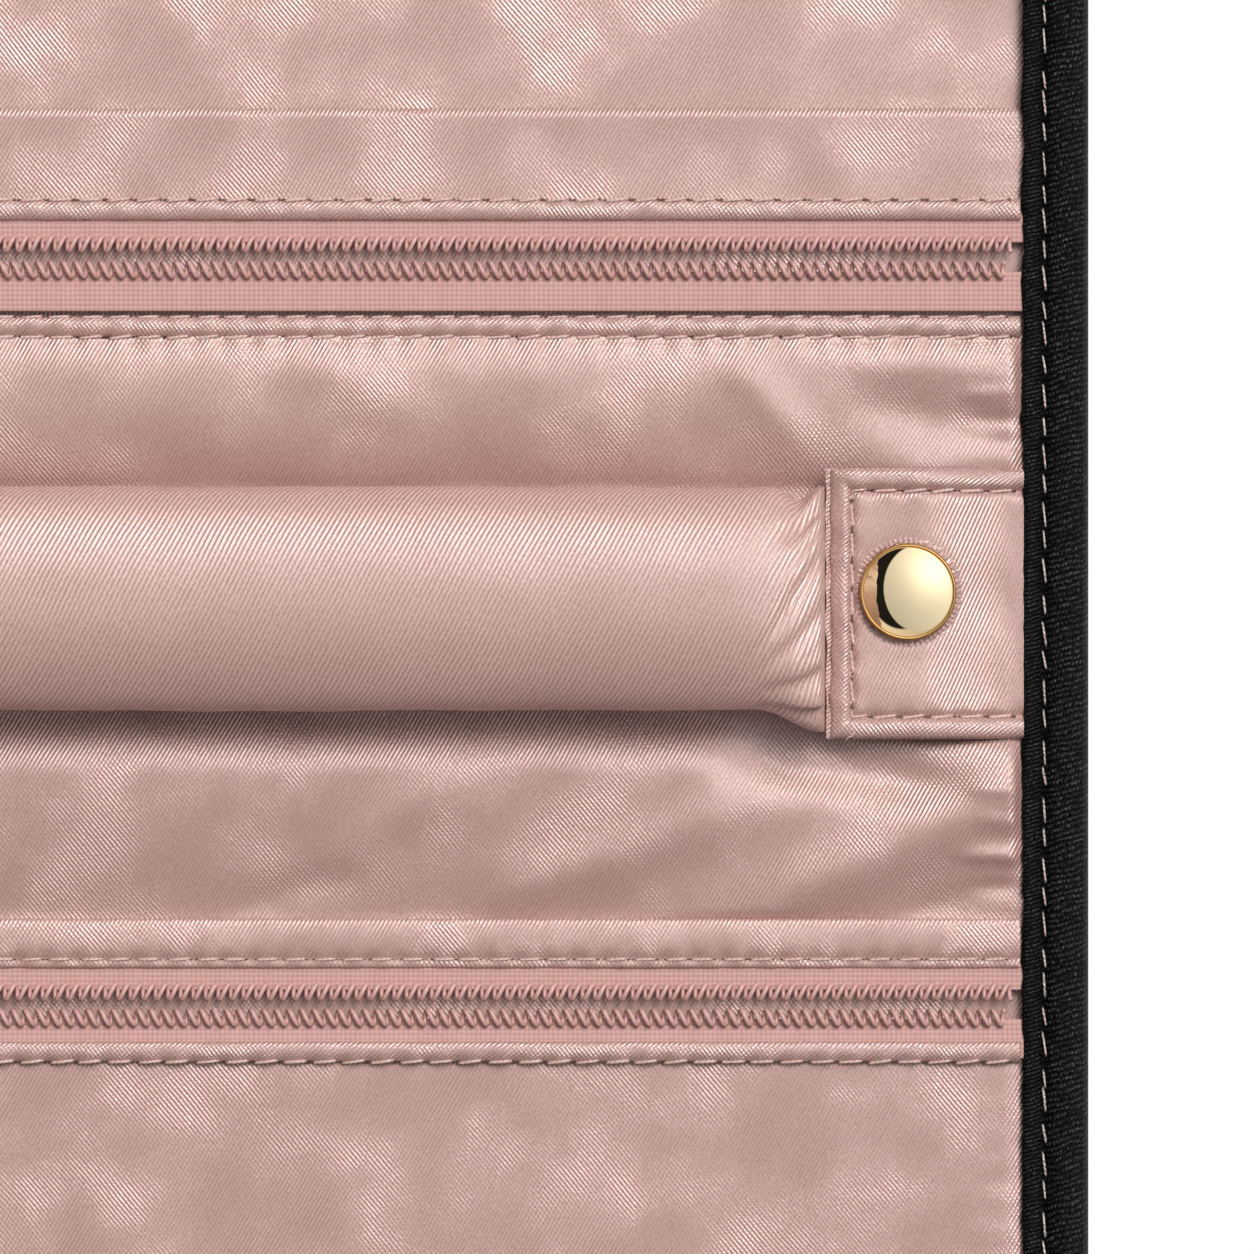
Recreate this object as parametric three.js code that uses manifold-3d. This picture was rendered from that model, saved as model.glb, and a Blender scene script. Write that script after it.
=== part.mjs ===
// Travel jewelry organizer, opened flat with its inside up. Millimetres, +Z up.
// X runs across the case, +Y from the ring side over the spine to the necklace side.
import * as THREE from 'three';
import { mergeVertices } from 'three/addons/utils/BufferGeometryUtils.js';
import Module from 'manifold-3d';

const wasm = await Module();
wasm.setup();

// Case
const caseWidth = 216;
const panelDepth = 146;
const spineWidth = 26;
const cornerRadius = 16;
const barFromFold = 52;

// Layers, from the outside of the case to its inside
const gap = 0.3;
const foldGap = 0.2;
const padRise = 1.9;
const coverCloth = 0.7;
const foamThickness = 1.4;
const satinThickness = 0.5;
const bindingThickness = 0.8;
const bindingWidth = 7.1;
const seamAllowance = 4;
const padSideInset = 12;
const padEndInset = 26;
const padFoldInset = 4;
const padBevel = 1.2;
const padCorner = 2;

// Ring bar, its sewn end and its tongue
const barWidth = 22.9;
const barHeight = 14;
const barEndFromSide = 27.5;
const barStartFromSide = 17.6;
const barTaper = 10;
const barPinch = 8;
const barFlare = 2.1;
const barSquareness = 0.94;
const tongueLength = 17.5;
const tongueWidth = 20;
const tongueThickness = 0.6;
const anchorThickness = 0.6;
const patchCorner = 3;

// Snap flap over the tongue
const flapLength = 19.5;
const flapWidth = 27.6;
const flapOffset = -0.5;
const flapThickness = 0.8;
const flapSlope = 6.6;
const flapSnapFromRoot = 11.6;
const flapSnapOffset = 0.7;
const flapDroop = 0.5;
const flapLip = 2;

// Snap fasteners
const capRadius = 5;
const capHeight = 2.2;
const capRim = 0.5;
const studDisc = 0.3;
const studDiscRadius = 3.8;
const studNeckRadius = 1.3;
const studHeadRadius = 1.7;
const studHeight = 1.7;
const socketRadius = 4.2;
const socketHeight = 1.3;

// Zippers
const ringZipFromBar = 35.4;
const pocketZipFromBar = 42;
const chainSlot = 1;
const coilWidth = 1.6;
const coilHeight = 1.4;
const zipTape = 0.4;
const zipTapeWidth = 8;
const zipMargin = 2;
const hemWidth = 2.2;
const stripWidth = 5.1;
const bandFromSlider = 2.6;
const sliderLength = 8.5;
const sliderWidth = 6.4;
const sliderTail = 4.8;
const sliderPlate = 0.5;
const sliderTopPlate = 0.7;
const sliderWeb = 0.4;
const sliderCorner = 1;
const sliderShoulder = 0.5;
const sliderParked = 12;
const bridgeSpan = 3.2;
const bridgeWall = 0.7;
const bridgeWidth = 1.6;
const pullPin = 0.6;
const pullArm = 1.1;
const pullLength = 22;
const pullWidth = 6;
const pullHole = 1.3;
const pullNeck = 4;

// Necklace side
const strapCount = 4;
const strapPitch = 42;
const strapWidth = 14;
const strapLength = 26;
const strapSlope = 7;
const strapSnapFromRoot = 19;
const strapRootFromEdge = 12;
const railDepth = 36;
const pocketFoldInset = 6;
const pocketDepth = 62;
const pocketBulge = 6.5;
const pocketRise = 14;
const pocketGathers = 12;
const gatherDepth = 0.7;
const elasticDepth = 6;
const elasticThickness = 1.2;

// Closure strap
const closureWidth = 30;
const closureThickness = 1;
const closureTipLength = 30;
const closureSnapInset = 18;

// Levels of the layers, worked out from the values above
const bindingLow = padRise - gap - bindingThickness;
const coverTop = padRise + coverCloth;
const foamLow = coverTop + gap;
const foamTop = foamLow + foamThickness;
const liningLow = foamTop + gap;
const liningTop = liningLow + satinThickness;
const sheetLow = liningTop + gap;
const sheetTop = sheetLow + satinThickness;
const bindingTopLow = sheetTop + gap;
const edgeTop = bindingTopLow + bindingThickness;
const seatLevel = sheetTop + gap;
const halfWidth = caseWidth / 2;
const bindingInner = halfWidth - bindingWidth;
const sheetReach = bindingInner + seamAllowance;
const stackInset = bindingThickness + gap;
const foldA = barFromFold;
const foldB = foldA + spineWidth;
const freeEdgeA = foldA - panelDepth;
const freeEdgeB = foldB + panelDepth;
const closedStack = 2 * edgeTop + spineWidth;
const closureLow = capHeight + gap;
const closureTop = closureLow + closureThickness;
const closureRoot = freeEdgeB + gap;
const closureSide = closedStack - closureTop + gap;
const tipRoot = closureRoot + closureSide;
const tipEnd = tipRoot + closureTipLength;

const satin = new THREE.MeshStandardMaterial({ color: 0xd2aba5, roughness: 0.5, metalness: 0 });
const bindingCloth = new THREE.MeshStandardMaterial({ color: 0x1c1b1b, roughness: 0.85, metalness: 0 });
const coverMaterial = new THREE.MeshStandardMaterial({ color: 0x242324, roughness: 0.8, metalness: 0 });
const foam = new THREE.MeshStandardMaterial({ color: 0xe9e6df, roughness: 0.95, metalness: 0 });
const gold = new THREE.MeshStandardMaterial({ color: 0xe6cf95, roughness: 0.14, metalness: 1 });
const zipMaterial = new THREE.MeshStandardMaterial({ color: 0xc79d97, roughness: 0.7, metalness: 0 });
const elasticMaterial = new THREE.MeshStandardMaterial({ color: 0xcaa19b, roughness: 0.7, metalness: 0 });

const organizer = new THREE.Group();
organizer.position.y = -(freeEdgeA + tipEnd) / 2;

function addPiece(parent, name, geometry, material) {
  const mesh = new THREE.Mesh(geometry, material);
  mesh.name = name;
  parent.add(mesh);
  return mesh;
}

// Solids
function toSolid(geometry) {
  const bare = geometry.clone();
  bare.deleteAttribute('normal');
  bare.deleteAttribute('uv');
  const merged = mergeVertices(bare, 1e-4);
  return new wasm.Manifold(new wasm.Mesh({
    numProp: 3,
    vertProperties: Float32Array.from(merged.attributes.position.array),
    triVerts: Uint32Array.from(merged.index.array),
  }));
}

function toGeometry(solid) {
  const mesh = solid.getMesh();
  const geometry = new THREE.BufferGeometry();
  geometry.setAttribute('position', new THREE.BufferAttribute(mesh.vertProperties, 3));
  geometry.setIndex(new THREE.BufferAttribute(mesh.triVerts, 1));
  geometry.computeVertexNormals();
  return geometry;
}

function extrude(shape, low, high, segments = 6) {
  const geometry = new THREE.ExtrudeGeometry(shape, {
    depth: high - low,
    bevelEnabled: false,
    curveSegments: segments,
  });
  return geometry.translate(0, 0, low);
}

function block(x0, x1, y0, y1, z0, z1) {
  const geometry = new THREE.BoxGeometry(x1 - x0, y1 - y0, z1 - z0);
  return geometry.translate((x0 + x1) / 2, (y0 + y1) / 2, (z0 + z1) / 2);
}

function roundedShape(x0, x1, y0, y1, radius) {
  const r = Math.min(radius, (x1 - x0) / 2 - gap, (y1 - y0) / 2 - gap);
  const shape = new THREE.Shape();
  shape.moveTo(x0 + r, y0);
  shape.lineTo(x1 - r, y0);
  shape.absarc(x1 - r, y0 + r, r, -Math.PI / 2, 0);
  shape.lineTo(x1, y1 - r);
  shape.absarc(x1 - r, y1 - r, r, 0, Math.PI / 2);
  shape.lineTo(x0 + r, y1);
  shape.absarc(x0 + r, y1 - r, r, Math.PI / 2, Math.PI);
  shape.lineTo(x0, y0 + r);
  shape.absarc(x0 + r, y0 + r, r, Math.PI, Math.PI * 1.5);
  return shape;
}

// A panel's outline: square at its fold, rounded at its free corners
function panelShape(sideInset, endInset, foldInset) {
  const x = halfWidth - sideInset;
  const end = panelDepth - endInset;
  const r = Math.max(cornerRadius - Math.min(sideInset, endInset), padCorner);
  const shape = new THREE.Shape();
  shape.moveTo(-x, foldInset);
  shape.lineTo(x, foldInset);
  shape.lineTo(x, end - r);
  shape.absarc(x - r, end - r, r, 0, Math.PI / 2);
  shape.lineTo(r - x, end);
  shape.absarc(r - x, end - r, r, Math.PI / 2, Math.PI);
  return shape;
}

// Cloth laid over a grid: under gives the lower face, and the cloth is thick above it
function clothOver(xs, ys, under, thick) {
  const columns = xs.length;
  const rows = ys.length;
  const positions = [];
  for (const lift of [0, thick]) {
    for (const y of ys) {
      for (const x of xs) {
        positions.push(x, y, under(x, y) + lift);
      }
    }
  }
  const upper = columns * rows;
  const indices = [];
  const quad = (a, b, c, d) => indices.push(a, b, c, a, c, d);
  for (let j = 0; j + 1 < rows; j++) {
    for (let i = 0; i + 1 < columns; i++) {
      const a = j * columns + i;
      const b = a + 1;
      const c = b + columns;
      const d = a + columns;
      quad(a, d, c, b);
      quad(a + upper, b + upper, c + upper, d + upper);
    }
  }
  for (let i = 0; i + 1 < columns; i++) {
    const near = i;
    const far = (rows - 1) * columns + i;
    quad(near, near + 1, near + 1 + upper, near + upper);
    quad(far + 1, far, far + upper, far + 1 + upper);
  }
  for (let j = 0; j + 1 < rows; j++) {
    const left = j * columns;
    const right = left + columns - 1;
    quad(left + columns, left, left + upper, left + columns + upper);
    quad(right, right + columns, right + columns + upper, right + upper);
  }
  const geometry = new THREE.BufferGeometry();
  geometry.setAttribute('position', new THREE.Float32BufferAttribute(positions, 3));
  geometry.setIndex(indices);
  geometry.computeVertexNormals();
  return geometry;
}

// A closed skin through rings of equal count, with a flat lid at each end
function loft(rings) {
  const count = rings[0].length;
  const positions = rings.flat().flatMap((point) => [point.x, point.y, point.z]);
  const indices = [];
  for (let k = 0; k + 1 < rings.length; k++) {
    for (let i = 0; i < count; i++) {
      const a = k * count + i;
      const b = k * count + (i + 1) % count;
      indices.push(a, b, b + count, a, b + count, a + count);
    }
  }
  const last = (rings.length - 1) * count;
  for (let i = 1; i + 1 < count; i++) {
    indices.push(0, i + 1, i);
    indices.push(last, last + i, last + i + 1);
  }
  const geometry = new THREE.BufferGeometry();
  geometry.setAttribute('position', new THREE.Float32BufferAttribute(positions, 3));
  geometry.setIndex(indices);
  geometry.computeVertexNormals();
  return geometry;
}

// Panel stack: outer cover with its raised pad, foam board, lining and edge binding
function coverGeometry() {
  const flange = extrude(panelShape(stackInset, stackInset, foldGap), padRise, coverTop);
  const padShape = panelShape(padSideInset + padBevel, padEndInset + padBevel, padFoldInset + padBevel);
  const pad = new THREE.ExtrudeGeometry(padShape, {
    depth: coverTop - 2 * padBevel,
    bevelThickness: padBevel,
    bevelSize: padBevel,
    bevelSegments: 3,
    curveSegments: 6,
  });
  return toGeometry(toSolid(flange).add(toSolid(pad.translate(0, 0, padBevel))));
}

function bindingGeometry() {
  const outer = toSolid(extrude(panelShape(0, 0, foldGap), bindingLow, edgeTop, 8));
  const slotShape = panelShape(bindingThickness, bindingThickness, -gap);
  const slot = toSolid(extrude(slotShape, bindingLow + bindingThickness, bindingTopLow, 8));
  const windowShape = panelShape(bindingWidth, bindingWidth, -gap);
  const window = toSolid(extrude(windowShape, bindingLow - gap, edgeTop + gap, 8));
  return toGeometry(outer.subtract(slot).subtract(window));
}

function addPanelStack(parent, side) {
  const boardShape = panelShape(stackInset, stackInset, foldGap);
  addPiece(parent, 'outer_cover_' + side, coverGeometry(), coverMaterial);
  addPiece(parent, 'foam_board_' + side, extrude(boardShape, foamLow, foamTop), foam);
  addPiece(parent, 'lining_' + side, extrude(boardShape, liningLow, liningTop), satin);
  addPiece(parent, 'binding_' + side, bindingGeometry(), bindingCloth);
}

// A satin sheet laid on the lining between two distances from the fold, its edges under the binding
function addSheet(parent, name, near, far) {
  const inset = bindingWidth - seamAllowance;
  const outline = toSolid(extrude(panelShape(inset, inset, foldGap), sheetLow, sheetTop));
  const span = toSolid(block(-halfWidth, halfWidth, near, far, sheetLow - gap, sheetTop + gap));
  addPiece(parent, name, toGeometry(outline.intersect(span)), satin);
}

// Snap fastener: stud, spring socket and domed cap, each lathed about its own axis
function lathe(points, segments = 20) {
  const profile = points.map(([radius, height]) => new THREE.Vector2(radius, height));
  return new THREE.LatheGeometry(profile, segments).rotateX(Math.PI / 2);
}

function studGeometry() {
  return lathe([
    [0, 0],
    [studDiscRadius, 0],
    [studDiscRadius, studDisc],
    [studNeckRadius, studDisc],
    [studNeckRadius, studHeight * 0.55],
    [studHeadRadius, studHeight * 0.75],
    [studHeadRadius * 0.8, studHeight],
    [0, studHeight],
  ], 16);
}

function socketGeometry(height) {
  const bore = studHeadRadius + gap;
  return lathe([
    [bore, 0],
    [socketRadius, 0],
    [socketRadius, height * 0.6],
    [socketRadius * 0.85, height],
    [bore, height],
    [bore, 0],
  ], 20);
}

function capGeometry() {
  const points = [[0, 0], [capRadius * 0.94, 0], [capRadius, capRim * 0.5], [capRadius * 0.97, capRim]];
  const steps = 5;
  for (let i = 1; i < steps; i++) {
    const turn = (i / steps) * Math.PI / 2;
    points.push([capRadius * 0.95 * Math.cos(turn), capRim + (capHeight - capRim) * Math.sin(turn)]);
  }
  points.push([0, capHeight]);
  return lathe(points, 28);
}

// Heights that a snap takes up over the surface its stud sits on
const socketRise = studDisc + gap;
const plyRise = socketRise + socketHeight + gap;

// Flap side profile: s runs back from the root, and the free end lies over the snap
function flapProfile(length, slope, rootLow, plyLow, thick, droop) {
  const shape = new THREE.Shape();
  shape.moveTo(0, rootLow);
  shape.lineTo(0, rootLow + thick);
  shape.bezierCurveTo(slope * 0.4, rootLow + thick, slope * 0.7, plyLow + thick, slope, plyLow + thick);
  shape.lineTo(length - flapLip, plyLow + thick);
  shape.lineTo(length, plyLow + thick - droop);
  shape.lineTo(length, plyLow - droop);
  shape.lineTo(length - flapLip, plyLow);
  shape.lineTo(slope, plyLow);
  shape.bezierCurveTo(slope * 0.7, plyLow, slope * 0.4, rootLow, 0, rootLow);
  return shape;
}

function addSnapCap(parent, name, x, y, surface) {
  addPiece(parent, name, capGeometry(), gold).position.set(x, y, surface + gap);
}

// Ring bar: a stuffed sleeve, flattened where it is sewn down and flared where it meets its tongue
const barStart = -halfWidth + barStartFromSide;
const barEnd = halfWidth - barEndFromSide;
const barBase = seatLevel;

function barRing(x, halfSpan, height, shift) {
  const ring = [];
  const sides = 24;
  for (let i = 0; i < sides; i++) {
    const turn = (i / sides) * Math.PI * 2;
    const across = Math.sign(Math.cos(turn)) * Math.abs(Math.cos(turn)) ** barSquareness;
    const up = Math.sign(Math.sin(turn)) * Math.abs(Math.sin(turn)) ** barSquareness;
    ring.push({ x, y: shift + halfSpan * across, z: barBase + height * (1 + up) / 2 });
  }
  return ring;
}

function ringBarGeometry() {
  const span = barWidth / 2;
  const rings = [
    barRing(barStart, span * 1.04, barHeight * 0.065, 0),
    barRing(barStart + barTaper * 0.2, span * 1.02, barHeight * 0.3, 0),
    barRing(barStart + barTaper * 0.5, span, barHeight * 0.7, 0),
    barRing(barStart + barTaper, span, barHeight * 0.94, 0),
    barRing(barStart + barTaper * 1.8, span, barHeight, 0),
    barRing(0, span * 1.005, barHeight, 0),
    barRing(barEnd - barPinch, span, barHeight, 0),
    barRing(barEnd - barPinch * 0.62, span * 0.99, barHeight * 0.94, 0),
    barRing(barEnd - barPinch * 0.4, span * 0.94, barHeight * 0.78, -barFlare * 0.1),
    barRing(barEnd - barPinch * 0.2, span, barHeight * 0.52, -barFlare * 0.25),
    barRing(barEnd, span + barFlare / 2, barHeight * 0.26, -barFlare / 2),
  ];
  return loft(rings);
}

// Zipper halves: a tape with its half of the chain, and a slot between the halves for the slider
const tapeLow = seatLevel;
const chainTop = tapeLow + coilHeight;
const hemLow = tapeLow + zipTape + gap;
const hemTop = hemLow + satinThickness;

function zipHalfGeometry() {
  const half = bindingInner - zipMargin;
  const inner = chainSlot / 2;
  const tape = block(-half, half, inner + coilWidth / 2, inner + zipTapeWidth, tapeLow, tapeLow + zipTape);
  const section = new THREE.Shape();
  const radius = coilWidth * 0.4;
  section.moveTo(inner, tapeLow);
  section.lineTo(inner + coilWidth, tapeLow);
  section.lineTo(inner + coilWidth, chainTop - radius);
  section.absarc(inner + coilWidth - radius, chainTop - radius, radius, 0, Math.PI / 2);
  section.lineTo(inner, chainTop);
  const chain = extrude(section, -half, half, 4);
  chain.rotateX(Math.PI / 2).rotateZ(Math.PI / 2);
  return toGeometry(toSolid(tape).add(toSolid(chain)));
}

function addZipper(parent, prefix, centre) {
  const upper = addPiece(parent, prefix + '_zip_upper', zipHalfGeometry(), zipMaterial);
  upper.position.y = centre;
  const lower = addPiece(parent, prefix + '_zip_lower', zipHalfGeometry(), zipMaterial);
  lower.rotation.z = Math.PI;
  lower.position.y = centre;
}

// Slider: two plates held apart by a web that runs in the slot, and a bridge for the pull
const sliderBottom = sheetLow;
const sliderTopLow = chainTop + gap;
const sliderTop = sliderTopLow + sliderTopPlate;
const pinLevel = sliderTop + gap + pullPin;

function sliderPlateShape() {
  const shape = new THREE.Shape();
  const half = sliderLength / 2;
  const wide = sliderWidth / 2;
  const narrow = sliderTail / 2;
  const turn = sliderCorner;
  shape.moveTo(-half, turn - wide);
  shape.quadraticCurveTo(-half, -wide, turn - half, -wide);
  shape.lineTo(-sliderShoulder, -wide);
  shape.lineTo(half - turn, -narrow);
  shape.quadraticCurveTo(half, -narrow, half, turn - narrow);
  shape.lineTo(half, narrow - turn);
  shape.quadraticCurveTo(half, narrow, half - turn, narrow);
  shape.lineTo(-sliderShoulder, wide);
  shape.lineTo(turn - half, wide);
  shape.quadraticCurveTo(-half, wide, -half, wide - turn);
  return shape;
}

function sliderGeometry() {
  const bottom = toSolid(extrude(sliderPlateShape(), sliderBottom, sliderBottom + sliderPlate, 3));
  const top = toSolid(extrude(sliderPlateShape(), sliderTopLow, sliderTop, 3));
  const webEnd = sliderLength / 2 - sliderCorner;
  const webTop = sliderTopLow + sliderTopPlate / 2;
  const webLow = sliderBottom + sliderPlate / 2;
  const web = toSolid(block(-webEnd, webEnd, -sliderWeb / 2, sliderWeb / 2, webLow, webTop));
  const inner = bridgeSpan / 2;
  const outer = inner + bridgeWall;
  const crown = pinLevel + pullPin + gap;
  const arch = new THREE.Shape();
  arch.moveTo(-outer, sliderTop - sliderTopPlate / 2);
  arch.lineTo(outer, sliderTop - sliderTopPlate / 2);
  arch.quadraticCurveTo(outer, crown + bridgeWall, 0, crown + bridgeWall);
  arch.quadraticCurveTo(-outer, crown + bridgeWall, -outer, sliderTop - sliderTopPlate / 2);
  const eye = new THREE.Path();
  eye.absellipse(0, pinLevel, inner, crown - pinLevel, 0, Math.PI * 2);
  arch.holes.push(eye);
  const bridge = extrude(arch, -bridgeWidth / 2, bridgeWidth / 2, 8).rotateX(Math.PI / 2);
  return toGeometry(bottom.add(web).add(top).add(toSolid(bridge)));
}

// Pull: two arms, the pin that runs through the bridge, and a tapered tab with its hole
function pullGeometry() {
  const inner = bridgeWidth / 2 + gap;
  const outer = inner + pullArm;
  const clear = bridgeSpan / 2 + bridgeWall + pullArm;
  const tab = pullLength - pullWidth / 2;
  const shape = new THREE.Shape();
  shape.moveTo(-pullPin, -outer);
  shape.lineTo(clear, -outer);
  shape.bezierCurveTo(clear + pullNeck, -outer, tab - pullNeck, -pullWidth / 2, tab, -pullWidth / 2);
  shape.absarc(tab, 0, pullWidth / 2, -Math.PI / 2, Math.PI / 2);
  shape.bezierCurveTo(tab - pullNeck, pullWidth / 2, clear + pullNeck, outer, clear, outer);
  shape.lineTo(-pullPin, outer);
  const slot = new THREE.Path();
  slot.moveTo(pullPin, -inner);
  slot.lineTo(pullPin, inner);
  slot.lineTo(clear, inner);
  slot.lineTo(clear, -inner);
  const hole = new THREE.Path();
  hole.absarc(tab, 0, pullHole, 0, Math.PI * 2);
  shape.holes.push(slot, hole);
  const plate = toSolid(extrude(shape, -pullPin, pullPin, 6));
  const square = toSolid(block(-pullPin - gap, pullPin, -inner, inner, -pullPin - gap, pullPin + gap));
  const pin = new THREE.CylinderGeometry(pullPin, pullPin, inner * 2 + pullArm, 12);
  return toGeometry(plate.subtract(square).add(toSolid(pin)));
}

function addSlider(parent, prefix, centre) {
  const x = -bindingInner + zipMargin + sliderParked;
  addPiece(parent, prefix + '_zip_slider', sliderGeometry(), gold).position.set(x, centre, 0);
  addPiece(parent, prefix + '_zip_pull', pullGeometry(), gold).position.set(x, centre, pinLevel);
}

// Ring side
const ringSide = new THREE.Group();
organizer.add(ringSide);
const stackA = new THREE.Group();
stackA.rotation.z = Math.PI;
stackA.position.y = foldA;
ringSide.add(stackA);
addPanelStack(stackA, 'a');

const zipClear = sliderWidth / 2 + gap;
const ringZip = ringZipFromBar;
const pocketZip = -pocketZipFromBar;
const bandTop = ringZip - zipClear - bandFromSlider;
const stripLow = pocketZip + zipClear + gap;
const stripTop = stripLow + stripWidth;
const hemReach = bindingInner - gap;

function addHem(name, y0, y1) {
  addPiece(ringSide, name, block(-hemReach, hemReach, y0, y1, hemLow, hemTop), satin);
}

addSheet(stackA, 'upper_panel', foldGap, foldA - ringZip - zipClear - gap);
addSheet(stackA, 'ring_panel', foldA - bandTop, foldA - pocketZip - zipClear - gap);
addSheet(stackA, 'pocket_panel', foldA - pocketZip + zipClear + gap, panelDepth);
addZipper(ringSide, 'ring', ringZip);
addZipper(ringSide, 'pocket', pocketZip);
addHem('seam_band', bandTop - hemWidth, bandTop);
addHem('upper_hem', ringZip + zipClear + gap, ringZip + zipClear + gap + hemWidth);
addHem('hem_strip', stripLow, stripTop);
addHem('pocket_hem', pocketZip - zipClear - gap - hemWidth, pocketZip - zipClear - gap);
addSlider(ringSide, 'ring', ringZip);
addSlider(ringSide, 'pocket', pocketZip);

addPiece(ringSide, 'ring_bar', ringBarGeometry(), satin);
const anchorTop = seatLevel + anchorThickness;
const anchorReach = bindingInner - gap;
const anchorShape = roundedShape(-anchorReach, barStart - gap, -barWidth / 2, barWidth / 2, patchCorner);
addPiece(ringSide, 'ring_bar_anchor', extrude(anchorShape, seatLevel, anchorTop, 3), satin);
const tongueTop = seatLevel + tongueThickness;
const tongueRoot = barEnd + gap;
const tongueEnd = tongueRoot + tongueLength;
const tongueShape = roundedShape(tongueRoot, tongueEnd, -tongueWidth / 2, tongueWidth / 2, patchCorner);
addPiece(ringSide, 'ring_bar_tongue', extrude(tongueShape, seatLevel, tongueTop, 4), satin);

const flapRootX = bindingInner - gap;
const flapRootLow = edgeTop + gap - flapThickness;
const snapSeat = tongueTop + gap;
const snapX = flapRootX - flapSnapFromRoot;
const flapPly = snapSeat + plyRise;
const flapSide = flapProfile(flapLength, flapSlope, flapRootLow, flapPly, flapThickness, flapDroop);
const flapGeometry = extrude(flapSide, -flapWidth / 2, flapWidth / 2, 5);
flapGeometry.rotateX(Math.PI / 2).rotateZ(Math.PI);
addPiece(ringSide, 'snap_flap', flapGeometry, satin).position.set(flapRootX, flapOffset, 0);
addPiece(ringSide, 'ring_bar_stud', studGeometry(), gold).position.set(snapX, flapSnapOffset, snapSeat);
const flapSocket = addPiece(ringSide, 'snap_socket', socketGeometry(socketHeight), gold);
flapSocket.position.set(snapX, flapSnapOffset, snapSeat + socketRise);
addSnapCap(ringSide, 'snap_cap', snapX, flapSnapOffset, flapPly + flapThickness);

const closureSocketHeight = padRise - gap - socketRise;
const closureSocket = addPiece(ringSide, 'closure_socket', socketGeometry(closureSocketHeight), gold);
closureSocket.position.set(0, freeEdgeA + closureSnapInset, socketRise);

// Spine
const spine = new THREE.Group();
spine.position.y = foldA;
organizer.add(spine);
const spineReach = halfWidth - stackInset;
const spineFar = spineWidth - foldGap;

function spineCoverGeometry() {
  const flange = toSolid(block(-spineReach, spineReach, foldGap, spineFar, padRise, coverTop));
  const x = halfWidth - padSideInset - padBevel;
  const y = padFoldInset + padBevel;
  const padShape = roundedShape(-x, x, y, spineWidth - y, padCorner);
  const pad = new THREE.ExtrudeGeometry(padShape, {
    depth: coverTop - 2 * padBevel,
    bevelThickness: padBevel,
    bevelSize: padBevel,
    bevelSegments: 3,
    curveSegments: 3,
  });
  return toGeometry(flange.add(toSolid(pad.translate(0, 0, padBevel))));
}

function spineBindingGeometry() {
  const inner = halfWidth - bindingWidth;
  const outer = toSolid(block(inner, halfWidth, foldGap, spineFar, bindingLow, edgeTop));
  const slotHigh = halfWidth - bindingThickness;
  const slotLow = bindingLow + bindingThickness;
  const slot = toSolid(block(inner - gap, slotHigh, 0, spineWidth, slotLow, bindingTopLow));
  return toGeometry(outer.subtract(slot));
}

addPiece(spine, 'spine_cover', spineCoverGeometry(), coverMaterial);
addPiece(spine, 'spine_board', block(-spineReach, spineReach, foldGap, spineFar, foamLow, foamTop), foam);
const spineSheet = block(-spineReach, spineReach, foldGap, spineFar, liningLow, liningTop);
addPiece(spine, 'spine_lining', spineSheet, satin);
addPiece(spine, 'spine_binding_right', spineBindingGeometry(), bindingCloth);
const leftBinding = addPiece(spine, 'spine_binding_left', spineBindingGeometry(), bindingCloth);
leftBinding.rotation.z = Math.PI;
leftBinding.position.y = spineWidth;

// Necklace side, measured from its fold line
const necklaceSide = new THREE.Group();
necklaceSide.position.y = foldB;
organizer.add(necklaceSide);
addPanelStack(necklaceSide, 'b');

function evenly(low, high, count) {
  return Array.from({ length: count + 1 }, (_, i) => low + (high - low) * i / count);
}

// The pocket bulges between its side seams, and its mouth is gathered by the elastic
const archReach = bindingInner - gap;

function pocketAcross(x) {
  return Math.max(1 - Math.abs(x / archReach) ** 4, 0);
}

function pocketArch(x, y) {
  const along = Math.sin(Math.min((y - pocketFoldInset) / pocketRise, 1) * Math.PI / 2);
  return sheetLow + pocketBulge * pocketAcross(x) * along;
}

function pocketUnder(x, y) {
  const fade = (y - pocketFoldInset) / pocketDepth;
  const gather = Math.cos(x / archReach * Math.PI * pocketGathers) - 1;
  return pocketArch(x, y) + gatherDepth / 2 * gather * pocketAcross(x) * fade * fade;
}

const pocketColumns = [-sheetReach, ...evenly(-archReach, archReach, 4 * pocketGathers), sheetReach];
const pocketMouth = pocketFoldInset + pocketDepth;
const pocketBase = evenly(pocketFoldInset, pocketFoldInset + pocketRise, 3);
const pocketRows = [...pocketBase, pocketMouth - pocketRise, pocketMouth];
const pocketCloth = clothOver(pocketColumns, pocketRows, pocketUnder, satinThickness);
addPiece(necklaceSide, 'catch_pocket', pocketCloth, satin);
const elasticRows = [pocketMouth + gap, pocketMouth + gap + elasticDepth];
const elasticBand = clothOver(evenly(-archReach, archReach, 24), elasticRows, pocketArch, elasticThickness);
addPiece(necklaceSide, 'pocket_elastic', elasticBand, elasticMaterial);

addSheet(necklaceSide, 'necklace_rail', panelDepth - bindingWidth - railDepth, panelDepth);

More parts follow.
